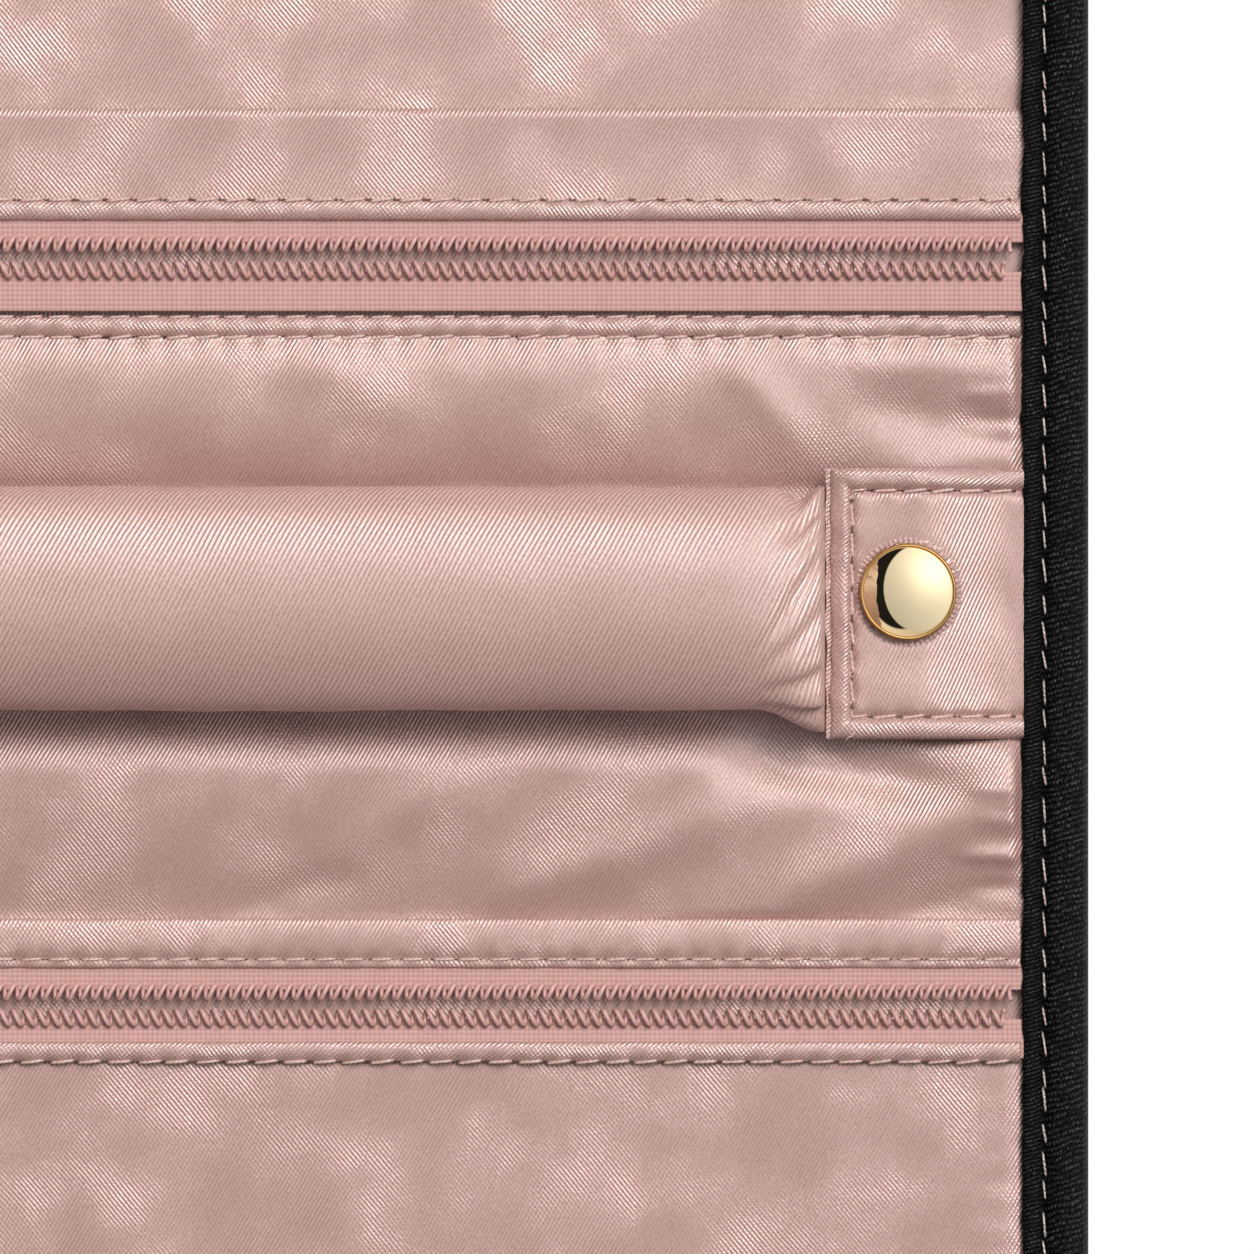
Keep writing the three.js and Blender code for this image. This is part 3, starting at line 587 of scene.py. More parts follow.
def stitchRow(name, path, height, look, body, run):
    # a row of thread loops along a path; each loop dips into the cloth at both its ends, and those sunk ends
    # are coloured with painted shade
    path = np.array(path, float)
    reach = reachAlong(path)
    count = max(1, int(round(reach[-1] / run["pitch"])))
    rng = np.random.default_rng(run["seed"])
    sides, steps = loop["sides"], loop["steps"]
    t = np.linspace(0, 1, steps)
    arch = np.sin(np.pi * t) ** loop["arch"]
    turn = np.linspace(0, 2 * math.pi, sides, endpoint=False)
    points, faces, lay, sunk, holes = [], [], [], [], []
    for i in range(count):
        long = run["length"] * (run["short"] if i % 2 and run["short"] else 1)
        start = (i + 0.5) * reach[-1] / count - long / 2 + rng.normal(0, run["wobble"])
        s = np.clip(start + t * long, 0, reach[-1])
        place = np.stack([np.interp(s, reach, axis) for axis in path.T])
        tangent = place[:, -1] - place[:, 0]
        tangent /= max(np.linalg.norm(tangent), 1e-9)
        side = np.array([-tangent[1], tangent[0]])
        if run["hole"]:
            for end in (0, -1):
                holes.append((place[:, end].copy(), tangent, run["hole"] * rng.uniform(0.55, 1.2)))
        place = place + side[:, None] * (t - 0.5) * run["slant"] * rng.uniform(0.5, 1.4)
        z = height(place[0], place[1]) - run["dip"] + (run["dip"] + run["proud"]) * arch
        thick = run["radius"] * (loop["waist"] + (1 - loop["waist"]) * arch) * rng.uniform(0.9, 1.1)
        forth, rise = np.cos(turn) * thick[:, None], np.sin(turn) * thick[:, None]
        ring = [place[0][:, None] + side[0] * forth, place[1][:, None] + side[1] * forth, z[:, None] + rise]
        points.append(np.stack(ring, -1).reshape(-1, 3))
        wound = np.broadcast_arrays(turn / (2 * math.pi), s[:, None], 0 * turn)
        lay.append(np.stack(wound, -1).reshape(-1, 3))
        # painted shade: the loop's ends, where it sinks into the cloth, take the dark hole colour
        sunk.append(np.repeat(np.clip(1.5 - 2 * arch, 0, 1), sides))
        faces += tubeFaces(steps, sides, i * steps * sides, flip=True)
    rim = np.linspace(0, 2 * math.pi, dent["sides"], endpoint=False)
    levels = len(dent["levels"])
    start, size = count * steps * sides, levels * dent["sides"]
    for number, (end, tangent, wide) in enumerate(holes):  # painted shade: a small dark dent round each needle hole, wholly in the hole colour
        for level, share in dent["levels"]:
            forth = wide * dent["long"] * share * np.cos(rim)
            aside = wide * dent["wide"] * share * np.sin(rim)
            x = end[0] + tangent[0] * forth - tangent[1] * aside
            y = end[1] + tangent[1] * forth + tangent[0] * aside
            points.append(np.stack([x, y, height(x, y) + level * wide], -1))
        lay.append(np.zeros((size, 3)))
        sunk.append(np.ones(size))
        faces += tubeFaces(levels, dent["sides"], start + number * size, flip=True)
    addMesh(name, np.concatenate(points), faces, look, body, np.concatenate(lay), np.concatenate(sunk))


seamRun = {
    "pitch": 3.05, "length": 2.66, "short": 0, "radius": 0.165, "proud": 0.22, "dip": 0.14,
    "slant": 0.3, "wobble": 0.07, "hole": 0.21, "seed": 3,
}
edgeRun = {
    **seamRun, "length": 2.4, "radius": 0.15, "proud": 0.08, "slant": 0.14, "wobble": 0.16, "hole": 0.14,
}


def lathe(name, profile, centre, look, body, flip, **more):
    radii, heights = np.array(profile, float).T
    sides = 96
    turn = np.linspace(0, 2 * math.pi, sides, endpoint=False)[:, None]
    ring = [centre[0] + np.cos(turn) * radii, centre[1] + np.sin(turn) * radii, centre[2] + flip * heights]
    ring = np.stack(np.broadcast_arrays(*ring), -1)
    faces = gridFaces(sides, len(radii), closeRows=True)
    outward(addMesh(name, ring, faces, look, body, **more), weld=True)


def tubeMesh(name, line, radius, sides, look, rider):
    forward = np.gradient(line, axis=0)
    forward /= np.linalg.norm(forward, axis=1)[:, None]
    out = np.cross(forward, [1.0, 0.0, 0.0])
    out /= np.linalg.norm(out, axis=1)[:, None]
    up = np.cross(forward, out)
    turn = np.linspace(0, 2 * math.pi, sides, endpoint=False)
    spoke = out[:, None] * np.cos(turn)[:, None] + up[:, None] * np.sin(turn)[:, None]
    outward(addMesh(name, line[:, None] + radius * spoke, tubeFaces(len(line), sides), look, rider))


# Satin of the ring side, with the folds that the photograph shows

ringCloth = {
    "step": 0.5, "thickness": 0.5, "overlap": 0.35, "barEdge": 11.5, "upperCrest": 22, "upperRise": 1.9,
    "seamDrop": 0.7, "lowerCrest": -18, "lowerRise": 1.7, "foldShare": 0.74, "lowest": -0.05,
    "ripples": ((0.09, 11, 26), (0.03, 12, 9)), "atEdge": (0.1, 15, 2.4),  # height, seed, wavelength
    "edgeReach": 16, "seamReach": 5, "seamCalm": 0.8, "underBinding": 0.15, "underStrip": 0.1,
    "underBar": (10.9, 12.6), "underFlap": ((78, 82), (11.4, 13.1), (-15.0, -13.2)),
    "groove": 0.12, "pinch": 0.3, "pucker": 0.16,
    "folds": [  # from x, y to x, y; half width; height
        (70, 26, 80.5, 13, 2.5, 0.6), (64, 19, 74, 12.5, 2.8, -0.2), (83, 20.2, 102, 17.2, 2.7, -1.1),
        (84, 12.6, 103, 13.0, 2.7, 1.15), (80, 25.2, 101, 24.4, 1.8, 0.45), (26, 27, 40, 17, 3.1, 0.4),
        (34, 20, 47, 12.5, 3.6, -0.25), (4, 16, 20, 12.5, 3.0, -0.2), (48, 25, 60, 17, 2.6, 0.15),
        (-30, 23, -12, 14, 2.6, 0.4), (-62, 24, -44, 15, 2.4, 0.4),
        (106, -17, 64, -37.4, 3.6, 1.4), (74, -21, 45, -31.6, 2.7, 0.7), (70, -16, 94, -19.2, 2.7, -2.2),
        (88, -33.2, 103, -28.4, 1.6, -0.4), (19, -32.4, 31, -28.6, 1.9, -0.5), (26, -28, 44, -18, 3.0, 0.3),
        (-90, -20, -60, -30, 3, 0.5), (-40, -31, -18, -20, 3, 0.4), (-102, -17, -84, -24, 2.2, 0.7),
        (-102, 15, -88, 21, 2.2, 0.6), (101.5, 21.5, 95, 21.2, 0.7, 0.4),
        (101.5, 18.4, 95.5, 18.6, 0.7, -0.35), (101.5, -19.8, 95.5, -19.6, 0.6, 0.45),
        (101.5, -23.2, 96.5, -22.6, 0.6, 0.3), (101.5, -26.8, 94.5, -26.6, 0.7, 0.5),
        (101.5, -29.6, 96, -29.8, 0.6, -0.3),
    ],
}
ringLow = nodeBox("ring_panel")[0]
bandLow, bandHigh = nodeBox("seam_band")
stripLow, stripHigh = nodeBox("hem_strip")
barBoxLow, barBoxHigh = nodeBox("ring_bar")
bandStitchY = bandLow[1]


def pinchedAt(along, pitch=seamRun["pitch"]):  # from 0 to 1 and back, once for each stitch
    return 0.5 + 0.5 * np.cos(2 * math.pi * along / pitch)


def ringPanelHeight(x, y):
    # the satin puffs up between the ring bar and the seams above and below it
    barEdge, crest, low = ringCloth["barEdge"], ringCloth["upperCrest"], ringCloth["lowerCrest"]
    climb = 1 - np.clip((crest - y) / (crest - barEdge), 0, 1) ** 2.2
    beyond = np.clip((y - crest) / (bandStitchY - crest), 0, 1)
    upper = (ringCloth["upperRise"] * climb - ringCloth["seamDrop"] * beyond ** 2) * (y > 0)
    fall = 1 - np.clip((low - y) / (low - stripHigh[1]), 0, 1) ** 1.6
    lower = ringCloth["lowerRise"] * smoothStep(-barEdge, low, y) * fall * (y < 0)
    z = 0 * x
    for height, seed, length in ringCloth["ripples"]:
        z = z + height * ripple(x, y, seed, length)
    for fold in ringCloth["folds"]:
        z = z + ringCloth["foldShare"] * crease(x, y, fold)
    height, seed, length = ringCloth["atEdge"]
    edge = smoothStep(halfWidth - ringCloth["edgeReach"], bindingInner, np.abs(x))
    z = z + height * edge * ripple(0 * x, y + x * 0.1, seed, length)
    atSeam = smoothStep(bandStitchY - ringCloth["seamReach"], bandStitchY, y)
    z = np.maximum(z * (1 - ringCloth["seamCalm"] * atSeam) + upper + lower, ringCloth["lowest"])
    underBar = 1 - smoothStep(*ringCloth["underBar"], np.abs(y))
    along, above, below = ringCloth["underFlap"]
    underFlap = smoothStep(*along, x) * (1 - smoothStep(*above, y)) * smoothStep(*below, y)
    z = z * (1 - np.maximum(underBar, underFlap))
    pinch = pinchedAt(x)
    z = z - (ringCloth["groove"] + ringCloth["pinch"] * pinch) * hump(y, bandStitchY, 0.5)
    z = z - ringCloth["pucker"] * pinch * hump(y, bandStitchY - 0.8, 1.1)
    pressed = smoothStep(bindingInner - 1.2, bindingInner + 0.6, np.abs(x))
    z = z * (1 - pressed) + np.minimum(z, ringCloth["underBinding"]) * pressed
    strip = smoothStep(stripHigh[1] + 0.8, stripHigh[1] - 0.8, y)
    return sheetTop + z * (1 - strip) + ringCloth["underStrip"] * strip


ringReach = halfWidth - case["edgeUnderBinding"]
ringEnd = bandStitchY + ringCloth["overlap"]
ringPanel = rectangle(
    "ringPanelCloth", (-ringReach, ringReach, ringLow[1], ringEnd), ringPanelHeight, ringCloth["thickness"],
    "satin", "ring_side", ringCloth["step"], replaces=["ring_panel"],
)


# Raised bands and folded hems, each with its rows of stitches

hemForm = {"step": 0.35, "thickness": 0.9, "roll": 0.25, "sag": 0.05, "pinch": 0.22, "groove": 0.12}


def foldedHem(name, node, crown, stitchesAt, look="hem", seed=21):
    low, high = nodeBox(node)
    middle, half = (low[1] + high[1]) / 2, (high[1] - low[1]) / 2

    def height(x, y):
        across = np.clip(1 - ((y - middle) / half) ** 2, 0, 1)
        sag = ripple(x, y, seed, 18) + 0.5 * ripple(x, y, seed, 4)
        z = high[2] - crown + crown * across ** 0.6 + hemForm["sag"] * sag
        for row, run in stitchesAt:
            z = z - hemForm["pinch"] * pinchedAt(x) * hump(y, row, 0.8)
            z = z - hemForm["groove"] * hump(y, row, 0.3)
        return z
    rectangle(
        name, (-bindingInner + 0.1, bindingInner - 0.1, low[1], high[1]), height, hemForm["thickness"], look,
        "ring_side", hemForm["step"], hemForm["roll"], replaces=[node],
    )
    for number, (y, run) in enumerate(stitchesAt):
        path, run = [(-bindingInner + 1, y), (bindingInner - 1, y)], {**run, "seed": seed + number}
        stitchRow(f"{name}Stitches{number + 1}", path, height, "thread", "ring_side", run)


foldedHem("seamBandCloth", "seam_band", 0.45, [(bandLow[1] - 0.02, seamRun), (bandHigh[1] - 0.12, edgeRun)])
foldedHem("hemStripCloth", "hem_strip", 0.4, [(stripLow[1] + 0.9, edgeRun)], "satin", 22)
foldedHem("upperHemCloth", "upper_hem", 0.45, [(nodeBox("upper_hem")[1][1] - 0.1, seamRun)], seed=23)
foldedHem("pocketHemCloth", "pocket_hem", 0.45, [(nodeBox("pocket_hem")[0][1] + 0.1, seamRun)], seed=24)
print("ring side cloth and hems")


quiet = {"wide": 0.3, "fine": 0.025, "atEdge": 0.08, "edgeReach": 8, "freeEdge": 0.05}


def quietCloth(seed, swell):
    def height(x, y):
        z = swell * quiet["wide"] * ripple(x, y, seed, 24) + quiet["fine"] * ripple(x, y, seed + 1, 9)
        edge = quiet["atEdge"] * smoothStep(bindingInner - quiet["edgeReach"], bindingInner, np.abs(x))
        z = np.maximum(z + swell, 0) + edge * ripple(0 * x, y, seed + 2, 3)
        pressed = smoothStep(bindingInner - 1.2, bindingInner + 0.4, np.abs(x))
        return sheetTop + z * (1 - pressed)
    return height


def freeEdgePress(height, side):
    # cloth lies flat again where the free edge's binding holds it down
    inset = halfWidth - bindingInner

    def pressed(x, y):
        near = 1 - smoothStep(inset - 1, inset + 2, np.abs(y - caseSides[side]["free"]))
        z = height(x, y)
        return z * (1 - near) + np.minimum(z, sheetTop + quiet["freeEdge"]) * near
    return pressed


def clothSheet(name, node, side, height):
    low, high = (corner[1] for corner in nodeBox(node))
    inset, body = case["edgeUnderBinding"], caseSides[side]["body"]
    sheet = panelSheet(name, side, low, high, inset, height, 0.5, "satin", body, replaces=[node])
    area = 2 * outlineSpan(np.linspace(low, high, 400), inset, side).mean() * (high - low)
    flat = (2 * (halfWidth - inset) * mm, (high - low) * mm)
    area * mm * mm


clothSheet("upperPanelCloth", "upper_panel", "a", quietCloth(31, 0.15))
clothSheet("pocketPanelCloth", "pocket_panel", "a", freeEdgePress(quietCloth(34, 0.35), "a"))
clothSheet("necklaceRailCloth", "necklace_rail", "b", freeEdgePress(quietCloth(37, 0.2), "b"))
ringFlat = (2 * ringReach * mm, (ringEnd - ringLow[1]) * mm)


# Ring bar: a stuffed sleeve, pinched and flared where it runs under the snap flap

bar = {
    "step": 0.55, "around": 168, "squareness": 0.89, "endHeight": 2.0, "tuck": 2.6,
    "shoulder": (0.28, 4.5), "endTurn": 0.16,
    "startDrop": 10, "notch": (77.6, 1.5, 1.5), "flareTop": 0.25, "flareBottom": 2.3, "flat": 1.4,
    "span": 11.45, "waver": 0.05, "flareReach": (8, 0.5), "narrow": (0.12, 0.2), "seat": 0.02,
    "wrinkles": ((0.06, 41, 18), (0.02, 42, 6)),
    "creases": [  # place along x, angle round from the top, degrees turned each mm back, reach, width, depth
        (81.4, 64, 5.5, 5.0, 7.0, 1.1), (81.4, 47, 6.5, 3.4, 5.0, 0.5), (81.4, 31, 7.0, 6.5, 6.0, 1.15),
        (81.4, 14, 5.5, 3.0, 4.6, 0.5), (81.4, 2, 5.0, 6.0, 5.6, 1.0), (81.4, -13, 4.2, 3.2, 4.8, 0.5),
        (81.4, -28, 3.6, 5.5, 6.0, 1.0), (81.4, -56, 2.2, 5.5, 6.6, 1.0),
    ],
}
flapLow, flapHigh = nodeBox("snap_flap")
barFull = barBoxHigh[2] - barBoxLow[2]
barBase = barBoxLow[2] + bar["seat"]


def barSection(x, turn):
    start, end = barBoxLow[0], barBoxHigh[0]
    back = np.maximum(end - x, 0)
    lean, reach = bar["shoulder"]
    fall = 1 - lean * np.exp(-back / reach) - (1 - lean) * np.exp(-back / bar["endTurn"])
    riseAtStart = np.clip((x - start) / bar["startDrop"], 0, 1)
    full = np.sqrt(np.clip(1 - (1 - riseAtStart) ** 2.2, 0, 1))
    height = bar["endHeight"] + (barFull - bar["endHeight"]) * fall
    height = bar["flat"] + (height - bar["flat"]) * full
    place, depth, width = bar["notch"]
    span = bar["span"] + bar["waver"] * np.sin(x * 0.07)
    flareFrom, flareTo = bar["flareReach"]
    flare = smoothStep(end - flareFrom, end - flareTo, x)
    upSpan = span - depth * hump(x, place, width) + bar["flareTop"] * flare
    downSpan = span - 0.1 * hump(x, place - 2, 2.5) + bar["flareBottom"] * flare ** 1.2
    tucked = smoothStep(end, end + 1.5, x)
    narrowUp, narrowDown = bar["narrow"]
    upSpan, downSpan = upSpan * (1 - narrowUp * tucked), downSpan * (1 - narrowDown * tucked)
    across = np.sign(np.sin(turn)) * np.abs(np.sin(turn)) ** bar["squareness"]
    up = np.sign(np.cos(turn)) * np.abs(np.cos(turn)) ** bar["squareness"]
    sunk = 0
    for at, degrees, slant, reach, wide, deep in bar["creases"]:
        off = (np.degrees(turn) - degrees + (at - x) * slant) / wide
        sunk = sunk + deep * (hump(off, 0, 1) - 0.35 * hump(off, 1.8, 1)) * hump(x, at, reach)
    for lift, seed, length in bar["wrinkles"]:
        sunk = sunk - lift * ripple(x, np.degrees(turn) * 0.2, seed, length)
    shrink = 1 - sunk / 10
    y = across * np.where(across > 0, upSpan, downSpan) * shrink
    z = barBase + height * (1 + up * shrink) / 2
    return y, np.maximum(z, barBase)


def addRingBar():
    start, end = barBoxLow[0], barBoxHigh[0] + bar["tuck"]
    x = np.unique(np.concatenate([
        np.linspace(start, start + bar["startDrop"], 32), np.arange(start, end, bar["step"]),
        np.arange(end - 13, end, 0.2),
        barBoxHigh[0] - np.array([0.05, 0.1, 0.15, 0.25, 0.35, 0.5, 0.7, 0.9, 1.1]), [end],
    ]).round(4))
    turn = np.linspace(-math.pi, math.pi, bar["around"] + 1)
    xs, turns = np.meshgrid(x, turn, indexing="ij")
    y, z = barSection(xs, turns)
    middle = len(x) // 2
    down = reachAlong(np.stack([x, z[:, bar["around"] // 2]], 1))
    down += x[middle] - down[middle]
    arc = reachAlong(np.stack([y[middle], z[middle]], 1))
    arc -= arc[len(arc) // 2]
    points = np.stack([xs, y, z], -1)[:, :-1]
    weave = np.stack(np.broadcast_arrays(down[:, None], arc, 0 * xs), -1)[:, :-1]
    faces = tubeFaces(len(x), bar["around"])
    return addMesh("ringBarCushion", points, faces, "bar", "ring_bar", weave, replaces=["ring_bar"])


addRingBar()


def nearlyFlat(level, height, seed, length):
    return lambda x, y: level + height * ripple(x, y, seed, length)


rectangle(
    "ringBarTongueCloth", footprint("ring_bar_tongue"), nearlyFlat(top("ring_bar_tongue"), 0.02, 43, 6), 0.58,
    "flap", "ring_bar", 0.6, roll=0.25, replaces=["ring_bar_tongue"],
)
anchorHeight = nearlyFlat(top("ring_bar_anchor"), 0.04, 44, 5)
rectangle(
    "ringBarAnchorCloth", footprint("ring_bar_anchor"), anchorHeight, 0.58,
    "flap", "ring_side", 0.5, roll=0.25, replaces=["ring_bar_anchor"],
)
ax0, ax1, ay0, ay1 = footprint("ring_bar_anchor")
anchorPath = [(ax0 + 1, ay0 + 1.5), (ax1 - 1.5, ay0 + 1.5), (ax1 - 1.5, ay1 - 1.5), (ax0 + 1, ay1 - 1.5)]
anchorRun = {**seamRun, "pitch": 2.6}
stitchRow("ringBarAnchorStitches", anchorPath, anchorHeight, "thread", "ring_side", anchorRun)
print("ring bar")


# Snap flap and necklace straps: two plies, a hem with stitches, and a ring pressed round the cap

def tabHeights(tab):
    # s runs back from the sewn root to the free end, w across
    length, half = tab["length"], tab["width"] / 2

    def height(s, w):
        rise = smoothStep(0, tab["slope"], s)
        z = tab["rootTop"] + (tab["plyTop"] - tab["rootTop"]) * rise
        z = z - tab["droop"] * smoothStep(length - 3, length, s) ** 2
        inward = np.minimum(length - s, half - np.abs(w))
        hem = tab["hem"]
        z = z + tab["puff"] * np.clip(1 - ((inward - hem * 0.5) / (hem * 0.5)) ** 2, 0, 1) ** 0.7
        z = z - tab["groove"] * hump(inward, hem, 0.35)
        along = np.where(length - s < half - np.abs(w), w, s)
        z = z - tab["pinch"] * pinchedAt(along, tab["run"]["pitch"]) * hump(inward, hem, 0.8)
        ring = np.hypot(s - tab["snap"], w - tab["snapOff"])
        pressed = 1 - smoothStep(tab["capRadius"] - 0.3, tab["capRadius"] + 1.5, ring)
        z = z - tab["press"] * pressed
        return z + tab["sag"] * ripple(s, w, tab["seed"], 9) * smoothStep(0, 2, s)
    return height


def addTab(name, rider, node, tab):
    height = tabHeights(tab)
    length, half = tab["length"], tab["width"] / 2
    heading = np.array(tab["heading"], float)
    side = np.array([-heading[1], heading[0]])
    root = np.array(tab["root"], float)

    def place(s, w):
        return root[0] + heading[0] * s + side[0] * w, root[1] + heading[1] * s + side[1] * w

    def ply(plyName, grow, drop, thick, replaces):
        rows = spread(-tab["under"], length + grow, tab["step"], 0.2)
        columns = spread(-half - grow * 0.3, half + grow * 0.3, tab["step"], 0.2)
        w, s = np.meshgrid(columns, rows)
        edge = np.minimum(length + grow - s, half + grow * 0.3 - np.abs(w))
        curl = tab["curl"] * smoothStep(length + 0.1, length + grow, s) if grow else 0
        waver = 0.1 * ripple(s, w, tab["seed"] + int(10 * grow), 4) * (1 - smoothStep(0, 2.5, edge))
        dip = rollOff(edge, 0.2)
        z = height(np.clip(s, 0, length), np.clip(w, -half, half)) - drop + curl
        cut = smoothStep(length - 1.5, length + grow, s)
        x, y = place(s + waver * cut, w)
        lower = z - thick + np.minimum(dip, thick * 0.45)
        inHem = np.minimum(length - s, half - np.abs(w)) < tab["hem"]
        clothPatch(plyName, x, y, z - dip, lower, "flap", rider, border=("hem", inHem), replaces=replaces)

    ply(name + "TopPly", 0, 0, 0.42, [node])
    ply(name + "LowerPly", tab["plyStep"], 0.46, 0.34, [])
    cornerS, cornerW = length - tab["hem"], half - tab["hem"]
    route = ((0.4, -cornerW), (cornerS, -cornerW), (cornerS, cornerW), (0.4, cornerW))
    path = [place(s, w) for s, w in route]

    def worldHeight(x, y):
        dx, dy = x - root[0], y - root[1]
        return height(dx * heading[0] + dy * heading[1], dx * side[0] + dy * side[1])
    stitchRow(name + "Stitches", path, worldHeight, "thread", rider, tab["run"])
    capPleats(name + "CapPleats", rider, place(tab["snap"], tab["snapOff"]), worldHeight, tab)


pleats = {
    "count": 62, "samples": 10, "out": 1.0, "swell": 0.17, "depth": 0.12, "sway": 0.6, "skirt": 0.05,
    "sink": 0.03, "tuck": 0.15, "under": 0.3,
    "rings": (-0.7, -0.25, -0.05, 0.1, 0.2, 0.3, 0.42, 0.55, 0.75, 1.0),  # distances out from the cap's edge
}


def capPleats(name, rider, centre, surface, tab):
    # the ply gathers into fine pleats all round where the cap is pressed into it
    turn = np.linspace(0, 2 * math.pi, pleats["count"] * pleats["samples"], endpoint=False)
    rng = np.random.default_rng(tab["seed"])
    swing = pleats["sway"] * np.interp(turn, np.linspace(0, 2 * math.pi, 40), rng.normal(0, 1, 40))
    turns, radii = np.meshgrid(turn, tab["capRadius"] + np.array(pleats["rings"]), indexing="ij")
    x, y = centre[0] + radii * np.cos(turns), centre[1] + radii * np.sin(turns)
    fold = 0.5 + 0.5 * np.cos(pleats["count"] * turns + swing[:, None])
    ridge = pleats["swell"] + pleats["depth"] * (fold ** 0.7 - 1)
    body = hump(radii, tab["capRadius"] + 0.15, 0.32)
    fade = 1 - smoothStep(tab["capRadius"] + 0.3, tab["capRadius"] + pleats["out"], radii)
    z = surface(x, y) + ridge * body + pleats["skirt"] * (fold - 0.3) * fade - pleats["sink"] * (1 - fade)
    z = np.where(radii < tab["capRadius"] - 0.1, z - pleats["tuck"], z)
    lower = np.stack([x, y, surface(x, y) - pleats["under"]], -1)
    ring = np.concatenate([np.stack([x, y, z], -1), lower[:, ::-1]], 1)
    rows, columns = ring.shape[:2]
    index = np.arange(rows * columns).reshape(rows, columns)
    after, around = np.roll(index, -1, 1), np.roll(index, -1, 0)
    faces = np.stack([index, around, np.roll(after, -1, 0), after], -1).reshape(-1, 4)
    outward(addMesh(name, ring, faces, "hem", rider))


capLow, capHigh = nodeBox("snap_cap")
flapRoot = (flapHigh[0], (flapLow[1] + flapHigh[1]) / 2)
flapTab = {
    "root": flapRoot, "heading": (-1, 0),
    "length": flapHigh[0] - flapLow[0], "width": flapHigh[1] - flapLow[1],
    "rootTop": edgeTop + 0.3, "plyTop": capLow[2] - 0.28, "slope": 11, "droop": 0.45, "under": 0.5,
    "hem": 2.15, "puff": 0.4, "groove": 0.36, "pinch": 0.2, "step": 0.2, "curl": 0.3,
    "snap": flapRoot[0] - (capLow[0] + capHigh[0]) / 2, "snapOff": flapRoot[1] - (capLow[1] + capHigh[1]) / 2,
    "capRadius": (capHigh[0] - capLow[0]) / 2, "press": 0.12, "sag": 0.1, "seed": 51, "plyStep": 0.55,
    "run": {**seamRun, "pitch": 3.02, "seed": 5},
}
addTab("snapFlap", "snap_flap", "snap_flap", flapTab)
looseEnd = {"at": (83.0, -13.7), "reach": 0.9, "rise": 0.35, "radius": 0.07}


def addLooseEnd():
    t = np.linspace(0, 1, 15)
    x = looseEnd["at"][0] + looseEnd["reach"] * 0.4 * np.sin(5.2 * t)
    y = looseEnd["at"][1] - looseEnd["reach"] * t
    z = flapTab["plyTop"] + looseEnd["rise"] * np.sin(math.pi * t) - 0.3 * t
    tubeMesh("flapLooseThread", np.stack([x, y, z], -1), looseEnd["radius"], 6, "thread", "snap_flap")


addLooseEnd()

domeProfile = {"bead": 0.17, "dome": 4.72, "crown": 1.62, "steps": 22}


def snapCap(name, rider, node, flip=1):
    low, high = nodeBox(node)
    centre = [(low[0] + high[0]) / 2, (low[1] + high[1]) / 2, low[2] if flip > 0 else high[2]]
    radius = (high[0] - low[0]) / 2
    crown, dome = domeProfile["crown"], domeProfile["dome"] * radius / 5
    ball = (dome ** 2 + crown ** 2) / (2 * crown)
    lean = np.linspace(math.asin(dome / ball), 0, domeProfile["steps"])
    base = high[2] - low[2] - crown
    profile = [(0, 0), (radius * 0.93, 0), (radius * 0.955, base * 0.6)]
    profile += [(ball * math.sin(a), base + crown - ball * (1 - math.cos(a))) for a in lean]
    lathe(name, profile, centre, "cap", rider, flip, replaces=[node])
    bead = domeProfile["bead"]
    turn = np.linspace(0, 2 * math.pi, 13)
    rim = [(radius + bead * 1.3 * (math.cos(a) - 1), base - 0.14 + bead * 1.6 * math.sin(a)) for a in turn]
    # the rim bead, coloured with painted shade
    lathe(name + "Rim", rim, centre, "rim", rider, flip)


snapCap("snapCapDome", "snap_flap", "snap_cap")
for number in range(1, 5):
    left, right, near, far = footprint(f"necklace_strap_{number}")
    low, high = nodeBox(f"strap_cap_{number}")
    strapTab = {
        **flapTab, "root": ((left + right) / 2, far), "heading": (0, -1), "length": far - near,
        "width": right - left, "rootTop": sheetTop + 1.1, "plyTop": low[2] - 0.28, "slope": 7, "droop": 0,
        "under": 0, "hem": 1.6, "snap": far - (low[1] + high[1]) / 2, "snapOff": 0, "curl": 0.1,
        "seed": 60 + number, "plyStep": 0.15, "step": 0.33,
        "run": {**edgeRun, "pitch": 2.6, "seed": 70 + number},
    }
    addTab(f"necklaceStrap{number}", f"strap_{number}", f"necklace_strap_{number}", strapTab)
    snapCap(f"necklaceCap{number}", f"strap_{number}", f"strap_cap_{number}")
snapCap("closureCapDome", "closure_tip", "closure_cap", flip=-1)
print("snap flap, straps and caps")


# Binding: a ribbed tape folded over the edge of the case, swept along its outline

tape = {
    "step": 0.5, "thickness": 0.65, "groove": 4.75, "lip": 5.0, "threadLevel": 6.6, "pinch": 0.1,
    "waver": ((0.08, 81, 7), (0.06, 82, 2.2)), "lipWave": (0.05, 83, 5), "backWave": (0.04, 84, 4),
    "overFlap": ((-15, -13.2), (12.2, 14)), "flapLift": 0.5, "flapReach": 0.12,
    "profile": [  # distance in from the case's edge, height over the table
        (6.85, 6.2), (7.0, 6.5), (7.02, 6.8), (6.88, 7.08), (6.55, 7.28), (6.15, 7.34), (5.75, 7.24),
        (5.4, 7.0), (5.1, 6.72), (4.85, 6.58), (4.6, 6.6), (4.35, 6.82), (4.0, 7.1), (3.4, 7.34), (2.7, 7.4),
        (2.0, 7.3), (1.3, 7.0), (0.7, 6.5), (0.28, 5.7), (0.05, 4.7), (0.0, 3.8), (0.1, 2.7), (0.45, 1.8),
        (1.1, 1.15), (2.2, 0.86), (4.0, 0.8), (5.6, 0.8), (7.0, 0.82), (7.1, 1.1),
    ],
}


